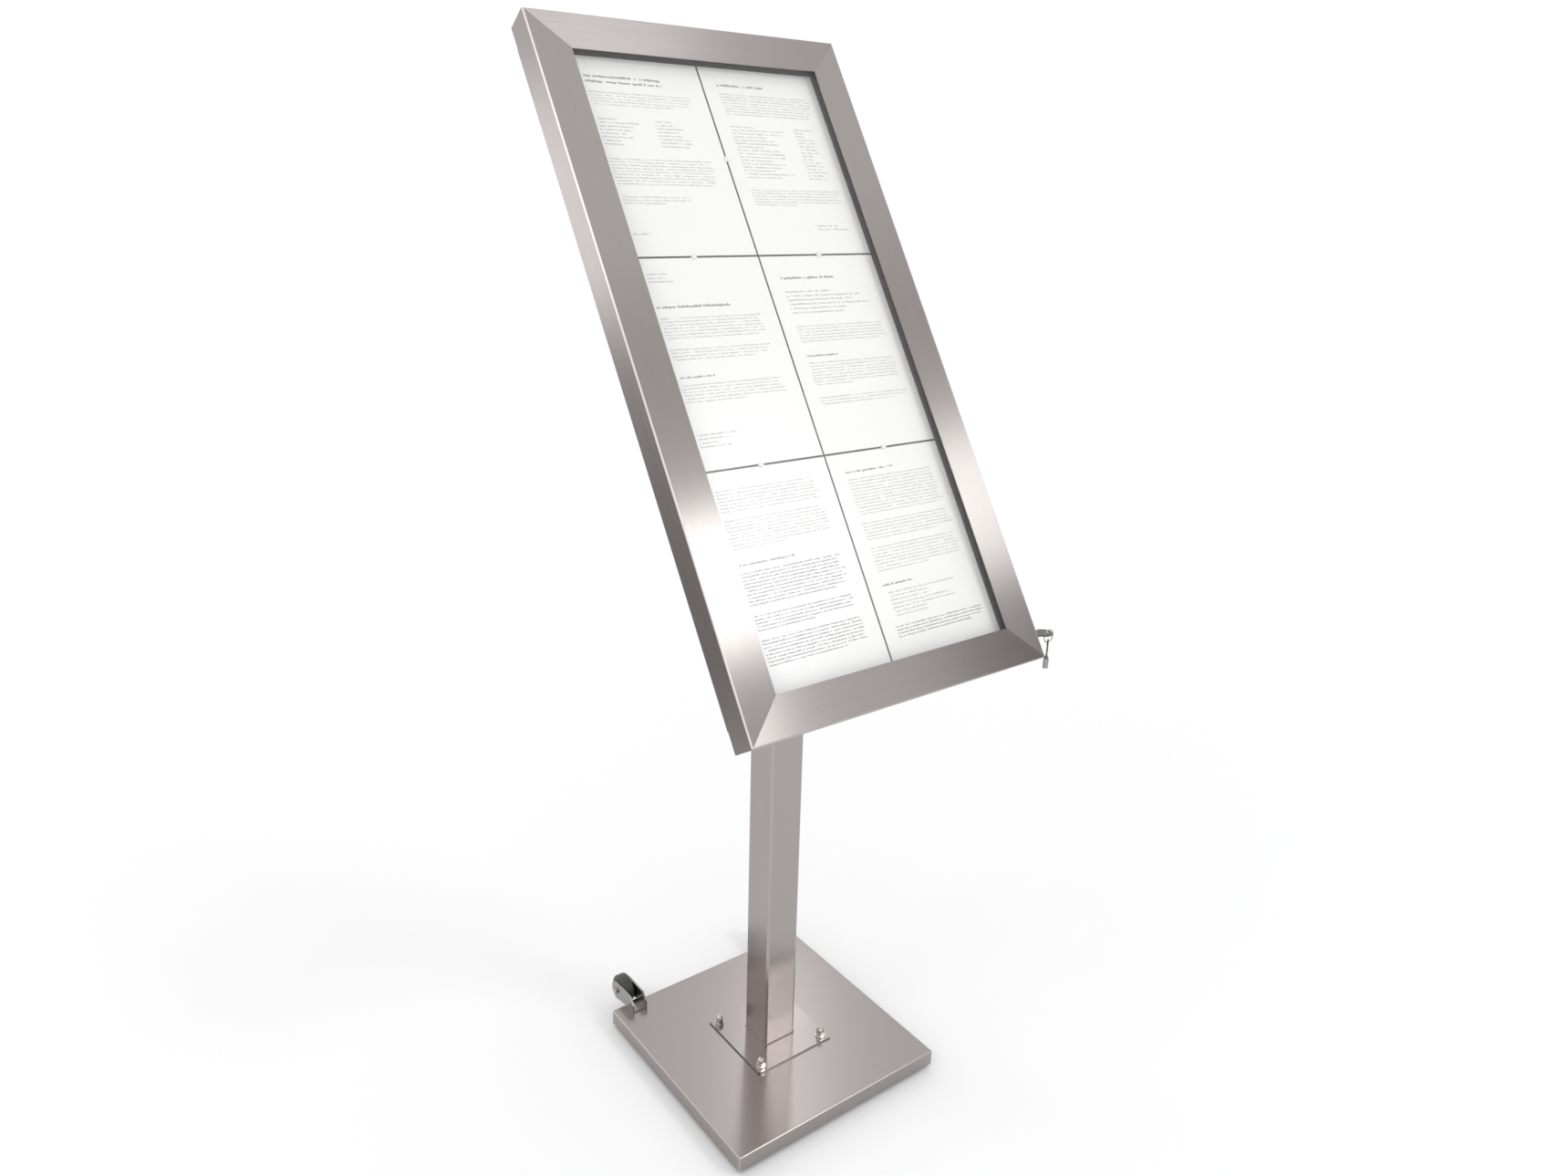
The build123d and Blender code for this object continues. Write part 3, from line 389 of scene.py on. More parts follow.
class CaseStudio(bpy.types.PropertyGroup):
    """Camera, light and floor round the case."""

    camera_place: bpy.props.FloatVectorProperty(
        name="Camera Place",
        description="Where the camera stands",
        subtype="TRANSLATION",
        unit="LENGTH",
        default=(-0.95572, -1.2731, 1.40895),
    )
    camera_turn: bpy.props.FloatProperty(
        name="Camera Turn",
        description="Compass turn of the view from straight ahead",
        subtype="ANGLE",
        default=math.radians(37.05),
    )
    camera_dip: bpy.props.FloatProperty(
        name="Camera Dip",
        description="How far the view points down",
        subtype="ANGLE",
        default=math.radians(19.568),
    )
    camera_roll: bpy.props.FloatProperty(
        name="Camera Roll",
        description="How far the camera leans to its side",
        subtype="ANGLE",
        default=math.radians(1.573),
    )
    lens: bpy.props.FloatProperty(
        name="Lens",
        description="Focal length in millimetres on a sensor 36 mm wide",
        min=10.0,
        max=200.0,
        default=26.114,
    )
    key_place: bpy.props.FloatVectorProperty(
        name="Key Light Place",
        description="Middle of the softbox in front of the case",
        subtype="TRANSLATION",
        unit="LENGTH",
        default=(4.3, -6.82, 7.04),
    )
    key_size: bpy.props.FloatVectorProperty(
        name="Key Light Size",
        description="Width and height of the softbox in front of the case",
        unit="LENGTH",
        size=2,
        default=(2.05, 1.45),
    )
    key_power: bpy.props.FloatProperty(
        name="Key Light Power",
        description="Power of the softbox in front of the case",
        unit="POWER",
        min=0.0,
        default=131.0,
    )
    key_colour: bpy.props.FloatVectorProperty(
        name="Key Light Colour",
        description="Colour of the softbox in front of the case, a little cool",
        subtype="COLOR",
        min=0.0,
        max=1.0,
        default=(0.957, 0.997, 1.0),
    )
    rim_place: bpy.props.FloatVectorProperty(
        name="Rim Light Place",
        description="Middle of the tall softbox behind the base",
        subtype="TRANSLATION",
        unit="LENGTH",
        default=(3.84, 4.92, 6.0),
    )
    rim_size: bpy.props.FloatVectorProperty(
        name="Rim Light Size",
        description="Width and height of the tall softbox behind the base",
        unit="LENGTH",
        size=2,
        default=(0.5, 2.2),
    )
    rim_power: bpy.props.FloatProperty(
        name="Rim Light Power",
        description="Power of the tall softbox behind the base",
        unit="POWER",
        min=0.0,
        default=6.4,
    )
    top_place: bpy.props.FloatVectorProperty(
        name="Top Light Place",
        description="Middle of the softbox high on the left",
        subtype="TRANSLATION",
        unit="LENGTH",
        default=(-3.26, -0.3, 3.9),
    )
    top_size: bpy.props.FloatVectorProperty(
        name="Top Light Size",
        description="Width and height of the softbox high on the left",
        unit="LENGTH",
        size=2,
        default=(0.7, 1.2),
    )
    top_power: bpy.props.FloatProperty(
        name="Top Light Power",
        description="Power of the softbox high on the left",
        unit="POWER",
        min=0.0,
        default=10.0,
    )
    side_place: bpy.props.FloatVectorProperty(
        name="Side Light Place",
        description="Middle of the softbox behind the left of the case",
        subtype="TRANSLATION",
        unit="LENGTH",
        default=(-1.5, 2.4, 1.32),
    )
    side_size: bpy.props.FloatVectorProperty(
        name="Side Light Size",
        description="Width and height of the softbox behind the left of the case",
        unit="LENGTH",
        size=2,
        default=(0.9, 0.8),
    )
    side_power: bpy.props.FloatProperty(
        name="Side Light Power",
        description="Power of the softbox behind the left of the case",
        unit="POWER",
        min=0.0,
        default=4.2,
    )
    back_place: bpy.props.FloatVectorProperty(
        name="Back Light Place",
        description="Middle of the softbox high behind the left of the post",
        subtype="TRANSLATION",
        unit="LENGTH",
        default=(-2.2, 2.46, 3.0),
    )
    back_size: bpy.props.FloatVectorProperty(
        name="Back Light Size",
        description="Width and height of the softbox high behind the left of the post",
        unit="LENGTH",
        size=2,
        default=(0.9, 0.75),
    )
    back_power: bpy.props.FloatProperty(
        name="Back Light Power",
        description="Power of the softbox high behind the left of the post",
        unit="POWER",
        min=0.0,
        default=3.0,
    )
    room_light: bpy.props.FloatProperty(
        name="Room Light",
        description="Strength of the light from all round",
        min=0.0,
        max=2.0,
        default=0.92,
    )
    floor_radius: bpy.props.FloatProperty(
        name="Floor Radius",
        description="Where the floor has faded into the white room",
        subtype="DISTANCE",
        unit="LENGTH",
        min=0.5,
        default=2.6,
    )
    floor: bpy.props.FloatVectorProperty(
        name="Floor",
        description="Colour of the floor",
        subtype="COLOR",
        min=0.0,
        max=1.0,
        default=(0.97, 0.97, 0.97),
    )
    card: bpy.props.FloatVectorProperty(
        name="Grey Cards",
        description="Colour of the cards that the steel mirrors",
        subtype="COLOR",
        min=0.0,
        max=1.0,
        default=(0.2, 0.19, 0.185),
    )


def finishes():
    return bpy.context.scene.case_finishes


def opaque(colour):
    return (*colour, 1.0)


def shade(colour, factor):
    """The colour made darker or lighter by a factor."""
    return tuple(min(1.0, part * factor) for part in colour)


def new_finish(name):
    """An empty material and its node tree."""
    material = bpy.data.materials.new(name)
    material.use_nodes = True
    material.node_tree.nodes.clear()
    return material, material.node_tree


def add(tree, kind, inputs=None, **settings):
    """Adds a node. Each input is a value, or a socket to link from."""
    node = tree.nodes.new(kind)
    for key, value in settings.items():
        setattr(node, key, value)
    for key, value in (inputs or {}).items():
        if isinstance(value, bpy.types.NodeSocket):
            tree.links.new(value, node.inputs[key])
        else:
            node.inputs[key].default_value = value
    return node


def calc(tree, operation, *values):
    """A Math node's result."""
    return add(tree, "ShaderNodeMath", dict(enumerate(values)), operation=operation).outputs[0]


def blend_colours(tree, factor, first, second):
    """A colour between two, by a factor from 0 to 1."""
    inputs = {0: factor, 6: first, 7: second}
    return add(tree, "ShaderNodeMix", inputs, data_type="RGBA").outputs[2]


def toned(tree, factor, colour, tones):
    """A colour between its darker and its lighter tone, by a factor from 0 to 1."""
    dark, light = (opaque(shade(colour, tone)) for tone in tones)
    return blend_colours(tree, factor, dark, light)


def spread(tree, value, low, high):
    """A value from 0 to 1 brought into a range."""
    return add(tree, "ShaderNodeMapRange", {"Value": value, "To Min": low, "To Max": high}).outputs[0]


def noise(tree, vector, scale=1.0, detail=3.0, roughness=0.55):
    inputs = {"Vector": vector, "Scale": scale, "Detail": detail, "Roughness": roughness}
    return add(tree, "ShaderNodeTexNoise", inputs).outputs[0]


def object_place(tree):
    return add(tree, "ShaderNodeTexCoord").outputs["Object"]


def bump(tree, height, distance, strength=1.0):
    inputs = {"Height": height, "Distance": distance, "Strength": strength}
    return add(tree, "ShaderNodeBump", inputs).outputs[0]


def surface(tree, shader):
    add(tree, "ShaderNodeOutputMaterial", {"Surface": shader.outputs[0]})


def dress(material, names):
    """Gives the material to these pieces of the frame."""
    for name in names:
        for slot in nodes[name].material_slots:
            slot.material = material


def shaded_rim_mask(tree):
    """1 on the cut rim of a lying plate, 0 on its faces."""
    normal = add(tree, "ShaderNodeTexCoord").outputs["Normal"]
    up = add(tree, "ShaderNodeSeparateXYZ", {0: normal}).outputs[2]
    return calc(tree, "LESS_THAN", calc(tree, "ABSOLUTE", up), PLATE_FACE)


def bend_highlight_mask(tree, rotation):
    """1 on the bends between a folded piece's flat faces, 0 on the faces."""
    normal = add(tree, "ShaderNodeTexCoord").outputs["Normal"]
    inputs = {"Vector": normal, "Rotation": rotation}
    turned = add(tree, "ShaderNodeMapping", inputs, vector_type="TEXTURE")
    parts = add(tree, "ShaderNodeSeparateXYZ", {0: turned.outputs[0]}).outputs
    steepest = 0.0
    for part in parts:
        steepest = calc(tree, "MAXIMUM", steepest, calc(tree, "ABSOLUTE", part))
    return calc(tree, "LESS_THAN", steepest, FOLD_FACE)


def brushed_steel(
    name,
    grain_axis,
    rotation=UPRIGHT,
    stretch=1.0,
    depth=0.7,
    gloss=1.0,
    tone=1.0,
    highlight_share=0.2,
    rim=None,
):
    """Stainless steel brushed along one axis of a frame that is turned by the rotation.

    Gloss and stretch scale the roughness and its direction, and depth the streaks. Tone scales the colour
    of the faces; the last two arguments paint a highlight on the bends and shade on a plate's cut rim.
    """
    finish = finishes()
    material, tree = new_finish(name)
    place = object_place(tree)

    def streaks(width, length):
        size = [width] * 3
        size[grain_axis] = length
        inputs = {"Vector": place, "Rotation": rotation, "Scale": size}
        stretched = add(tree, "ShaderNodeMapping", inputs, vector_type="TEXTURE").outputs[0]
        return noise(tree, stretched, detail=STREAK_DETAIL)

    fine = calc(tree, "MULTIPLY", streaks(finish.grain, FINE_LENGTH), FINE_SHARE)
    broad = calc(tree, "MULTIPLY", streaks(finish.grain * BROAD_WIDTH, BROAD_LENGTH), 1.0 - FINE_SHARE)
    streak = calc(tree, "ADD", fine, broad)
    streak_blur = spread(tree, streak, 1.0 - STREAK_BLUR, 1.0 + STREAK_BLUR)
    cloud_blur = spread(tree, noise(tree, place, STEEL_CLOUD_SCALE), -STEEL_CLOUD_BLUR, STEEL_CLOUD_BLUR)
    uneven = calc(tree, "ADD", streak_blur, cloud_blur)
    rough = calc(tree, "MULTIPLY", uneven, finish.steel_roughness * gloss)
    steel = shade(finish.steel, tone)
    tint = toned(tree, streak, steel, (1.0 - STREAK_TONE * depth, 1.0 + STREAK_TONE * depth))
    # The bends are painted brighter than the faces, a painted highlight along the folds.
    highlit = shade(steel, 1.0 + (finish.bend_highlight - 1.0) * highlight_share)
    tint = blend_colours(tree, bend_highlight_mask(tree, rotation), tint, opaque(highlit))
    # A plate's cut rim is painted darker, painted shade on its side faces.
    if rim:
        tint = blend_colours(tree, shaded_rim_mask(tree), tint, opaque(shade(steel, rim)))
    axis = [0.0] * 3
    axis[grain_axis] = 1.0
    axis = Euler(rotation).to_matrix() @ Vector(axis)
    grain = add(tree, "ShaderNodeCombineXYZ", dict(enumerate(axis)))
    grain = add(
        tree,
        "ShaderNodeVectorTransform",
        {"Vector": grain.outputs[0]},
        vector_type="VECTOR",
        convert_from="OBJECT",
        convert_to="WORLD",
    )
    inputs = {
        "Base Color": tint,
        "Metallic": 1.0,
        "Roughness": rough,
        "Anisotropic": finish.steel_stretch * stretch,
        "Anisotropic Rotation": QUARTER_TURN,
        "Tangent": grain.outputs[0],
        "Normal": bump(tree, streak, STREAK_RELIEF * depth, strength=0.5),
    }
    surface(tree, add(tree, "ShaderNodeBsdfPrincipled", inputs))
    return material


def sheared_edges(tree):
    """1 on the cut edges of upright and lying sheet, 0 on its faces."""
    normal = add(tree, "ShaderNodeTexCoord").outputs["Normal"]
    across, _, up = add(tree, "ShaderNodeSeparateXYZ", {0: normal}).outputs
    not_side = calc(tree, "LESS_THAN", calc(tree, "ABSOLUTE", across), SHEET_FACE)
    not_top = calc(tree, "LESS_THAN", calc(tree, "ABSOLUTE", up), PLATE_FACE)
    return calc(tree, "MULTIPLY", not_side, not_top)


def below(tree, height, blur):
    """1 under a height, 0 over it."""
    _, _, up = add(tree, "ShaderNodeSeparateXYZ", {0: object_place(tree)}).outputs
    inputs = {"Value": up, "From Min": height + blur, "From Max": height - blur}
    return add(tree, "ShaderNodeMapRange", inputs).outputs[0]


def polished_metal(name, colour, roughness, scratch=0.05, mask=None, other=None):
    """Bright metal with fine handling marks, in another colour where the mask is 1."""
    material, tree = new_finish(name)
    place = object_place(tree)
    marks = noise(tree, place, MARK_SCALE, detail=4.0, roughness=0.7)
    cloud = noise(tree, place, METAL_CLOUD_SCALE)
    tint = toned(tree, cloud, colour, METAL_TONES)
    if mask:
        tint = blend_colours(tree, mask(tree), tint, toned(tree, cloud, other, METAL_TONES))
    inputs = {
        "Base Color": tint,
        "Metallic": 1.0,
        "Roughness": spread(tree, marks, roughness - scratch, roughness + scratch),
        "Normal": bump(tree, marks, MARK_RELIEF, strength=0.4),
    }
    surface(tree, add(tree, "ShaderNodeBsdfPrincipled", inputs))
    return material


def dull_coat(name, colour, roughness, grain, depth):
    """Rubber, paint or moulded plastic with a fine skin."""
    material, tree = new_finish(name)
    place = object_place(tree)
    skin = noise(tree, place, 1.0 / grain, detail=4.0, roughness=0.6)
    cloud = noise(tree, place, COAT_CLOUD_SCALE, detail=4.0)
    inputs = {
        "Base Color": toned(tree, cloud, colour, COAT_TONES),
        "Roughness": spread(tree, skin, roughness - COAT_BLUR, roughness + COAT_BLUR),
        "Normal": bump(tree, skin, depth, strength=0.6),
    }
    surface(tree, add(tree, "ShaderNodeBsdfPrincipled", inputs))
    return material


def greeked_print():
    """Node group: broken bars in lines, as print looks from too far away to read."""
    tree = bpy.data.node_groups.new("Greeked Print", "ShaderNodeTree")
    face = tree.interface
    face.new_socket("Place", in_out="INPUT", socket_type="NodeSocketVector")
    for field in (*Block._fields, "seed"):
        face.new_socket(field, in_out="INPUT", socket_type="NodeSocketFloat")
    face.new_socket("Ink", in_out="OUTPUT", socket_type="NodeSocketFloat")
    given = add(tree, "NodeGroupInput").outputs
    across, up, _ = add(tree, "ShaderNodeSeparateXYZ", {0: given["Place"]}).outputs

    def at_random(first, second):
        key = add(tree, "ShaderNodeCombineXYZ", {0: first, 1: second, 2: given["seed"]}).outputs[0]
        return add(tree, "ShaderNodeTexWhiteNoise", {"Vector": key}).outputs["Value"]

    def within(value, low, high):
        over = calc(tree, "GREATER_THAN", value, low)
        return calc(tree, "MULTIPLY", over, calc(tree, "LESS_THAN", value, high))

    def share(value, factor):
        return calc(tree, "MULTIPLY", value, factor)

    along = calc(tree, "DIVIDE", calc(tree, "SUBTRACT", across, given["left"]), given["pitch"])
    down = calc(tree, "DIVIDE", calc(tree, "SUBTRACT", share(up, -1.0), given["top"]), given["pitch"])
    row = calc(tree, "FLOOR", down)
    height = calc(tree, "FRACT", down)
    letters = share(along, LETTERS_PER_PITCH)
    letter = calc(tree, "FLOOR", letters)
    stroke = calc(tree, "FRACT", letters)

    # Each line ends at its own place, and the last one of several somewhat earlier.
    # Rows are whole numbers, so half a row parts them.
    last_row = calc(tree, "SUBTRACT", given["lines"], 1.0)
    last = calc(tree, "GREATER_THAN", row, calc(tree, "SUBTRACT", last_row, 0.5))
    several = calc(tree, "GREATER_THAN", last_row, 0.5)
    early = share(calc(tree, "MULTIPLY", last, several), LAST_LINE_LOSS)
    loss = calc(tree, "MAXIMUM", given["ragged"], early)
    length = calc(tree, "SUBTRACT", 1.0, calc(tree, "MULTIPLY", loss, at_random(row, LINE_DRAW)))
    reach = calc(tree, "DIVIDE", calc(tree, "MULTIPLY", given["width"], length), given["pitch"])
    in_rows = within(row, -0.5, calc(tree, "ADD", last_row, 0.5))
    in_block = calc(tree, "MULTIPLY", within(along, 0.0, reach), in_rows)

    # Letters stand on one line, some reach higher, some lower, and one cell in six is a gap.
    kind = at_random(letter, row)
    high = share(calc(tree, "GREATER_THAN", kind, HIGH_ABOVE), HIGH_REACH)
    low = share(calc(tree, "LESS_THAN", kind, LOW_BELOW), LOW_REACH)
    top = calc(tree, "SUBTRACT", LETTER_TOP, high)
    foot = calc(tree, "ADD", LETTER_FOOT, low)
    filled = calc(tree, "GREATER_THAN", kind, GAP_BELOW)
    slit = calc(tree, "LESS_THAN", stroke, spread(tree, given["weight"], *LETTER_WIDTHS))
    mark = calc(tree, "MULTIPLY", within(height, top, foot), calc(tree, "MULTIPLY", slit, filled))
    strength = calc(tree, "MULTIPLY", mark, in_block)
    add(tree, "NodeGroupOutput", {"Ink": calc(tree, "MULTIPLY", strength, given["weight"])})
    return tree


def printed_paper(name, blocks, corner, seed, print_group):
    """White paper with its blocks of print, measured from the sheet's top left corner."""
    finish = finishes()
    material, tree = new_finish(name)
    place = object_place(tree)
    inputs = {"Vector": place, "Location": corner, "Rotation": CASE_ROTATION, "Scale": [MM] * 3}
    on_sheet = add(tree, "ShaderNodeMapping", inputs, vector_type="TEXTURE").outputs[0]
    ink = 0.0
    for number, block in enumerate(blocks):
        inputs = {"Place": on_sheet, **block._asdict(), "seed": seed + number * BLOCK_SEED}
        printed = add(tree, "ShaderNodeGroup", inputs, node_tree=print_group)
        ink = calc(tree, "MAXIMUM", ink, printed.outputs[0])
    fibre = noise(tree, place, FIBRE_SCALE, detail=4.0, roughness=0.65)
    cloud = noise(tree, place, PAPER_CLOUD_SCALE, detail=2.0)
    white = toned(tree, cloud, finish.paper, PAPER_TONES)
    inputs = {
        "Base Color": blend_colours(tree, ink, white, opaque(finish.ink)),
        "Roughness": spread(tree, fibre, *PAPER_ROUGHNESS),
        "Normal": bump(tree, fibre, FIBRE_RELIEF, strength=0.5),
    }
    surface(tree, add(tree, "ShaderNodeBsdfPrincipled", inputs))
    return material


class CASE_OT_brushed_steel(bpy.types.Operator):
    """Brush the frame, post and base along the length of each piece"""

    bl_idname = "display_case.brushed_steel"
    bl_label = "Brushed Steel"

    def execute(self, context):
        # The bends get a painted highlight, fullest on the case's uprights and faint on the post.
        dress(brushed_steel("steel_up_the_case", ALONG_Y, CASE_ROTATION, highlight_share=1.0), CASE_UPRIGHTS)
        dress(brushed_steel("steel_across_the_case", ALONG_X, CASE_ROTATION), CASE_RAILS)
        dress(brushed_steel("steel_up_the_post", ALONG_Z, stretch=0.9, gloss=0.8, highlight_share=0.1), POST_PIECES)
        flat = {"grain_axis": ALONG_X, "stretch": 0.2, "depth": 0.35}
        dress(brushed_steel("steel_across_the_base", **flat, gloss=0.77, tone=0.94), BASE_PIECES)
        # The flange's cut rim is painted darker, painted shade.
        dress(brushed_steel("steel_of_the_flange", **flat, gloss=0.64, tone=0.93, rim=0.45), FLANGE_PIECES)
        return {"FINISHED"}


class CASE_OT_fasteners(bpy.types.Operator):
    """Polish the nuts, bolts, rivets, clips and welds"""

    bl_idname = "display_case.fasteners"
    bl_label = "Fasteners and Welds"

    def execute(self, context):
        finish = finishes()
        dress(polished_metal("bright_fasteners", finish.bright, roughness=0.16), FASTENERS)
        # The welds are darker than the steel: partly heat tint, partly painted shade for the dark line at
        # the post's foot.
        weld_tint_and_shade = shade(finish.steel, 0.7)
        dress(polished_metal("weld_heat_tint_and_shade", weld_tint_and_shade, roughness=0.35, scratch=0.1), WELDS)
        return {"FINISHED"}


def bright_tube(tree):
    """1 on the tube of the hanging key, 0 on the keys' bows."""
    low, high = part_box("spare_key")
    height = high.z - low.z
    return below(tree, low.z + TUBE_SHARE * height, TUBE_BLUR * height)


class CASE_OT_lock_and_keys(bpy.types.Operator):
    """Plate the lock, and colour the keys on their ring dark above a height and bright below it"""

    bl_idname = "display_case.lock_and_keys"
    bl_label = "Lock and Keys"

    def execute(self, context):
        finish = finishes()
        dress(polished_metal("lock_nickel", finish.nickel, roughness=0.18), LOCK_PIECES)
        # The keys are dark above a height and bright below it.
        dark, light = finish.key, shade(finish.key, 3.0)
        keys = polished_metal("two_tone_keys", dark, roughness=0.3, mask=bright_tube, other=light)
        dress(keys, KEYS)
        dress(polished_metal("ring_wire", light, roughness=0.25), ["key_ring"])
        return {"FINISHED"}


class CASE_OT_castors(bpy.types.Operator):
    """Finish the two castors at the back of the base"""

    bl_idname = "display_case.castors"
    bl_label = "Castors"

    def execute(self, context):
        finish = finishes()
        # The brackets' cut edges are painted dark, painted shade on their side faces.
        plating, edge_shade = shade(finish.bright, 0.6), shade(finish.bright, 0.2)
        plated = polished_metal("castor_plating", plating, roughness=0.24, mask=sheared_edges, other=edge_shade)
        rubber = dull_coat("wheel_rubber", finish.tyre, roughness=0.42, grain=0.0012, depth=0.00006)
        plastic = dull_coat("hub_plastic", finish.hub, roughness=0.45, grain=0.0009, depth=0.00004)
        dress(plated, CASTOR_BRACKETS)
        dress(rubber, TYRES)
        dress(plastic, HUBS)
        return {"FINISHED"}


class CASE_OT_sheets(bpy.types.Operator):
    """Print the six sheets with lines too small to read"""

    bl_idname = "display_case.sheets"
    bl_label = "Printed Sheets"

    def execute(self, context):
        print_group = greeked_print()
        for number, (name, blocks) in enumerate(SHEETS.items()):
            low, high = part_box(name)
            corner = (low.x, high.y, high.z)
            seed = SHEET_SEED * number
            dress(printed_paper(f"paper_{name}", blocks, corner, seed, print_group), [name])
        return {"FINISHED"}


class CASE_OT_panel(bpy.types.Operator):
    """Paint the display panel and finish the magnets on it"""

    bl_idname = "display_case.panel"
    bl_label = "Panel and Magnets"

    def execute(self, context):
        finish = finishes()
        paint = dull_coat("display_paint", finish.panel, roughness=0.5, grain=0.0016, depth=0.00005)
        plastic = dull_coat("magnet_white", finish.magnet, roughness=0.25, grain=0.004, depth=0.00001)
        dress(paint, ["display_panel"])
        dress(plastic, ["paper_magnets"])
        return {"FINISHED"}


class CASE_OT_pane(bpy.types.Operator):
    """Glaze the door and set its rubber seal"""

    bl_idname = "display_case.pane"
    bl_label = "Pane and Seal"

    def execute(self, context):
        finish = finishes()
        material, tree = new_finish("clear_pane")
        inputs = {
            "Base Color": (0.985, 0.99, 0.988, 1.0),
            "Transmission Weight": 1.0,
            "Roughness": 0.0,
            "IOR": 1.0,
            "Coat Weight": 1.0,
            "Coat Roughness": 0.3,
            "Coat IOR": 1.45,
        }
        glass = add(tree, "ShaderNodeBsdfPrincipled", inputs)
        clear = add(tree, "ShaderNodeBsdfTransparent")
        path = add(tree, "ShaderNodeLightPath").outputs
        passing = calc(tree, "MAXIMUM", path["Is Shadow Ray"], path["Is Diffuse Ray"])
        inputs = {0: passing, 1: glass.outputs[0], 2: clear.outputs[0]}
        surface(tree, add(tree, "ShaderNodeMixShader", inputs))
        rubber = dull_coat("seal_rubber", finish.seal, roughness=0.55, grain=0.001, depth=0.00005)
        dress(material, ["glazing_pane"])
        dress(rubber, ["door_seal"])
        return {"FINISHED"}


class CASE_OT_underside(bpy.types.Operator):
    """Paint the ballast and finish the rubber feet"""

    bl_idname = "display_case.underside"
    bl_label = "Ballast and Feet"

    def execute(self, context):
        finish = finishes()
        paint = dull_coat("ballast_paint", finish.ballast, roughness=0.55, grain=0.002, depth=0.0001)
        rubber = dull_coat("foot_rubber", finish.seal, roughness=0.65, grain=0.001, depth=0.00006)
        dress(paint, ["ballast_plate"])
        dress(rubber, ["base_feet"])
        return {"FINISHED"}


def facing(place, target, across):
    """Turns a flat thing's back to +Z, so that it faces the target with its width along an axis."""
    back = (Vector(place) - Vector(target)).normalized()
    side = Vector(across)
    side = (side - back * side.dot(back)).normalized()
    axes = Matrix([side, back.cross(side), back]).transposed()
    return Matrix.Translation(place) @ axes.to_4x4()


def softbox(name, place, target, size, power, across, colour=WHITE):
    """A rectangular area light that faces the target."""
    light = bpy.data.lights.new(name, "AREA")
    light.color = colour
    light.shape = "RECTANGLE"
    light.size, light.size_y = size
    light.energy = power
    lamp = bpy.data.objects.new(name, light)
    lamp.matrix_world = facing(place, target, across)
    bpy.context.scene.collection.objects.link(lamp)
    return lamp


def camera(studio):
    """A camera aimed by turn, dip and roll."""
    turn, dip, roll = studio.camera_turn, studio.camera_dip, studio.camera_roll
    ahead = Vector((math.sin(turn) * math.cos(dip), math.cos(turn) * math.cos(dip), -math.sin(dip)))
    right = Vector((math.cos(turn), -math.sin(turn), 0.0))
    up = right.cross(ahead)
    leaning = Matrix.Rotation(-roll, 3, ahead)
    data = bpy.data.cameras.new("Camera")
    data.lens = studio.lens
    data.sensor_width = SENSOR_WIDTH
    data.clip_start = NEAR_CLIP
    made = bpy.data.objects.new("Camera", data)
    axes = [leaning @ right, leaning @ up, -ahead]
    made.matrix_world = Matrix.Translation(studio.camera_place) @ Matrix(axes).transposed().to_4x4()
    bpy.context.scene.collection.objects.link(made)
    return made


def white_room(studio):
    """A world that looks white, also in metal and glass, and lights dull surfaces more softly."""
    world = bpy.data.worlds.new("White Room")
    world.use_nodes = True
    tree = world.node_tree
    tree.nodes.clear()
    path = add(tree, "ShaderNodeLightPath").outputs
    seen = calc(tree, "MAXIMUM", path["Is Camera Ray"], path["Is Glossy Ray"])
    seen = calc(tree, "MAXIMUM", seen, path["Is Transmission Ray"])
    strength = spread(tree, seen, studio.room_light, 1.0)
    light = add(tree, "ShaderNodeBackground", {"Color": opaque(WHITE), "Strength": strength})
    add(tree, "ShaderNodeOutputWorld", {"Surface": light.outputs[0]})
    return world


def stage_object(name, shape, material):
    """A bmesh put into the scene as part of the stage."""
    mesh = bpy.data.meshes.new(name)
    shape.to_mesh(mesh)
    shape.free()
    mesh.materials.append(material)
    made = bpy.data.objects.new(name, mesh)
    bpy.context.scene.collection.objects.link(made)
    return made


def grey_cards(studio, middle):
    """Cards that only the steel mirrors: behind on the left, at the front right and over the key light."""
    material, tree = new_finish("grey_card")
    surface(tree, add(tree, "ShaderNodeBsdfDiffuse", {"Color": opaque(studio.card)}))
    pale, tree = new_finish("pale_card")
    surface(tree, add(tree, "ShaderNodeBsdfDiffuse", {"Color": opaque(shade(studio.card, PALE_CARD))}))
    lying = Matrix.Rotation(LYING_CARD_TURN, 4, "Z") @ Matrix.Translation(LYING_CARD_AWAY)
    standing = Matrix.Rotation(STANDING_CARD_TURN, 4, "Z") @ Matrix.Translation(STANDING_CARD_AWAY)
    standing = standing @ Matrix.Rotation(math.radians(90.0), 4, "X")
    over = facing(OVER_CARD_PLACE, middle, ACROSS_CASE)
    cards = (
        ("lying_card", lying, LYING_CARD_SIZE, material),
        ("standing_card", standing, STANDING_CARD_SIZE, material),
        ("over_card", over, OVER_CARD_SIZE, pale),
    )
    for name, place, (width, height), finish in cards:
        shape = bmesh.new()
        size = Matrix.Diagonal((width / 2.0, height / 2.0, 1.0, 1.0))
        bmesh.ops.create_grid(shape, x_segments=1, y_segments=1, size=1.0, matrix=place @ size)
        card = stage_object(name, shape, finish)
        card.visible_camera = False
        card.visible_diffuse = False
        card.visible_transmission = False
        card.visible_shadow = False


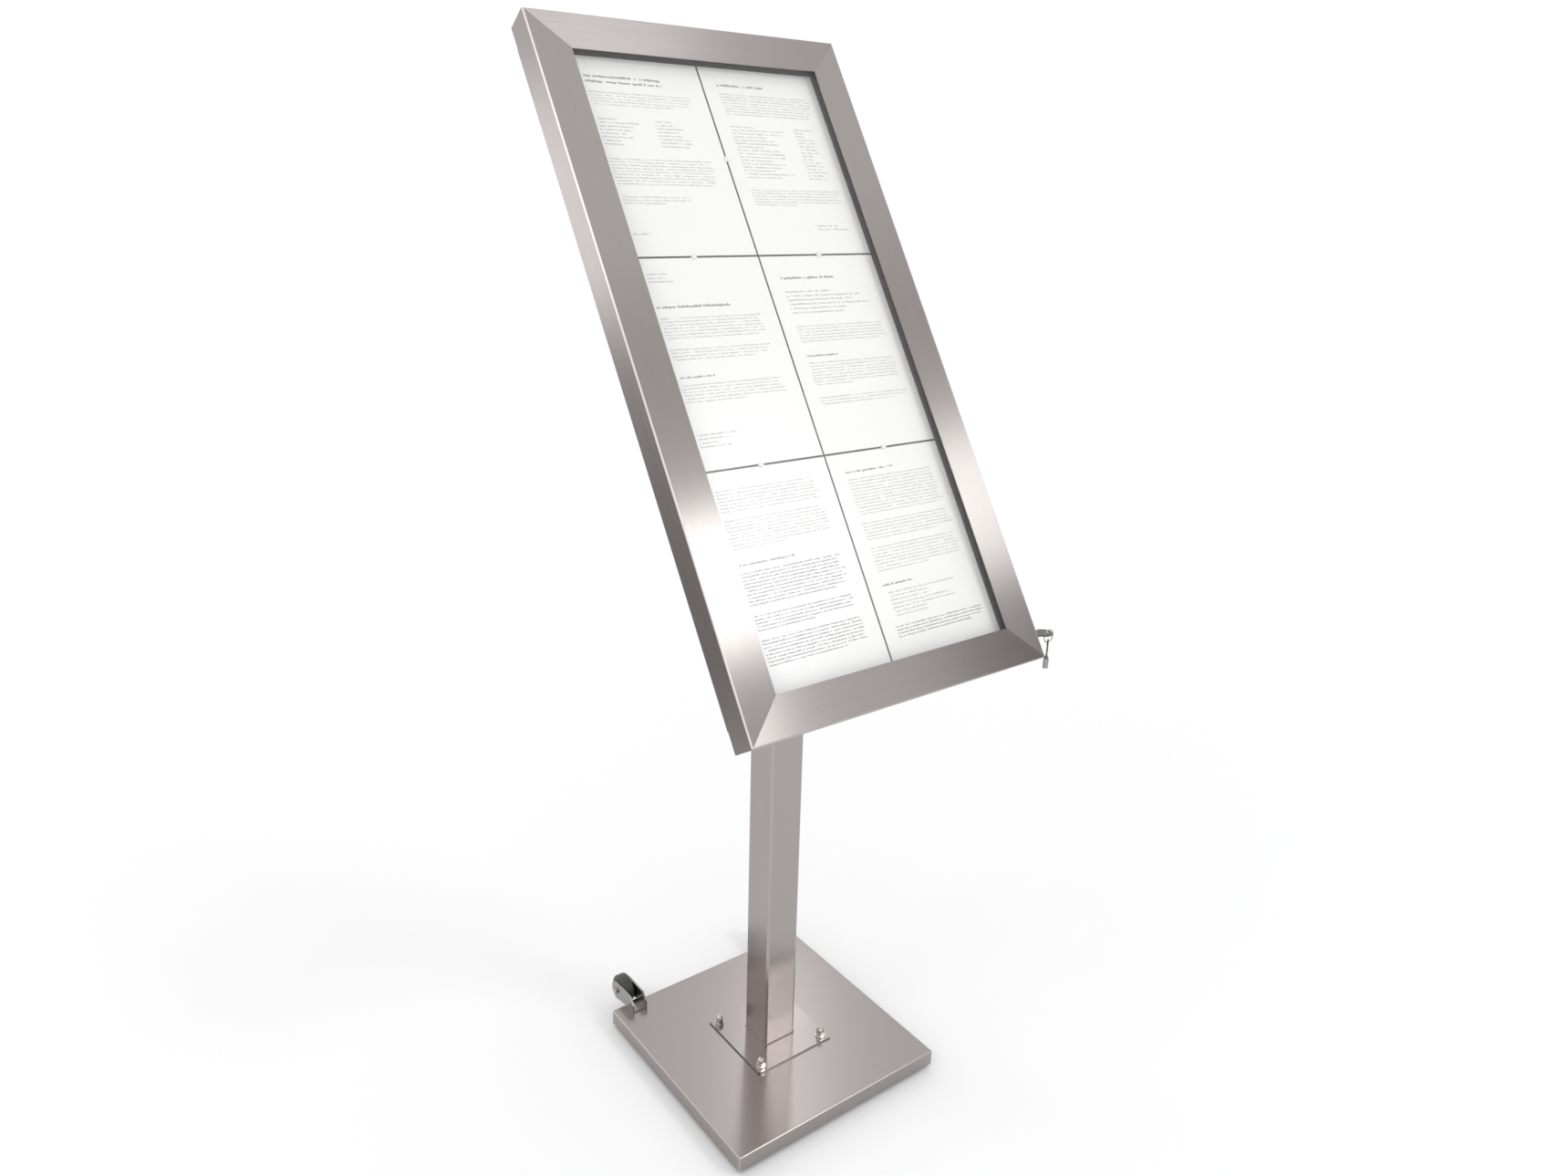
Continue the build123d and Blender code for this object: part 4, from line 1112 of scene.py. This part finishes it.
def studio_floor(studio):
    """A pale disc that fades into the white room."""
    shape = bmesh.new()
    radius = studio.floor_radius
    bmesh.ops.create_circle(shape, cap_ends=True, segments=FLOOR_SEGMENTS, radius=radius)
    material, tree = new_finish("pale_floor")
    away = add(tree, "ShaderNodeVectorMath", {0: object_place(tree)}, operation="LENGTH")
    away = away.outputs["Value"]
    inputs = {"Value": away, "From Min": FLOOR_FADE_FROM * radius, "From Max": FLOOR_FADE_TO * radius}
    fade = add(tree, "ShaderNodeMapRange", inputs, interpolation_type="SMOOTHSTEP").outputs[0]
    dull = add(tree, "ShaderNodeBsdfDiffuse", {"Color": opaque(studio.floor)})
    gone = add(tree, "ShaderNodeBsdfTransparent")
    surface(tree, add(tree, "ShaderNodeMixShader", {0: fade, 1: dull.outputs[0], 2: gone.outputs[0]}))
    stage_object("studio_floor", shape, material)


class CASE_OT_studio(bpy.types.Operator):
    """Set the camera, lights, white room and floor"""

    bl_idname = "display_case.studio"
    bl_label = "Studio"

    def execute(self, context):
        scene = context.scene
        studio = scene.case_studio
        scene.view_settings.view_transform = "Standard"
        scene.camera = camera(studio)
        scene.world = white_room(studio)
        low, high = cad_box
        middle = (low + high) / 2.0
        studio_floor(studio)
        grey_cards(studio, middle)
        key = studio.key_place, middle, studio.key_size, studio.key_power, ACROSS_CASE, studio.key_colour
        back = studio.back_place, POST_FOOT, studio.back_size, studio.back_power, ACROSS_CASE
        rim = studio.rim_place, middle, studio.rim_size, studio.rim_power, ACROSS_VIEW
        top = studio.top_place, middle, studio.top_size, studio.top_power, ACROSS_CASE
        side = studio.side_place, middle, studio.side_size, studio.side_power, ACROSS_CASE
        softbox("Key Softbox", *key)
        softbox("Back Softbox", *back)
        softbox("Rim Softbox", *rim)
        softbox("Top Softbox", *top)
        softbox("Side Softbox", *side)
        return {"FINISHED"}


OPERATORS = [
    CASE_OT_brushed_steel,
    CASE_OT_fasteners,
    CASE_OT_lock_and_keys,
    CASE_OT_castors,
    CASE_OT_sheets,
    CASE_OT_panel,
    CASE_OT_pane,
    CASE_OT_underside,
    CASE_OT_studio,
]


class CASE_PT_sidebar(bpy.types.Panel):
    """Sizes, colours and steps of the display case"""

    bl_label = "Display Case"
    bl_idname = "CASE_PT_sidebar"
    bl_space_type = "VIEW_3D"
    bl_region_type = "UI"
    bl_category = "Display Case"

    def draw(self, context):
        for group in (context.scene.case_finishes, context.scene.case_studio):
            box = self.layout.box()
            for field in group.__annotations__:
                box.prop(group, field)
        for operator in OPERATORS:
            self.layout.operator(operator.bl_idname)


CLASSES = [CaseFinishes, CaseStudio, *OPERATORS, CASE_PT_sidebar]


def register():
    for cls in CLASSES:
        bpy.utils.register_class(cls)
    bpy.types.Scene.case_finishes = bpy.props.PointerProperty(type=CaseFinishes)
    bpy.types.Scene.case_studio = bpy.props.PointerProperty(type=CaseStudio)


def unregister():
    del bpy.types.Scene.case_studio
    del bpy.types.Scene.case_finishes
    for cls in reversed(CLASSES):
        bpy.utils.unregister_class(cls)


def main():
    register()
    bpy.ops.display_case.brushed_steel()
    bpy.ops.display_case.fasteners()
    bpy.ops.display_case.lock_and_keys()
    bpy.ops.display_case.castors()
    bpy.ops.display_case.sheets()
    bpy.ops.display_case.panel()
    bpy.ops.display_case.pane()
    bpy.ops.display_case.underside()
    bpy.ops.display_case.studio()


if __name__ == "__main__":
    main()
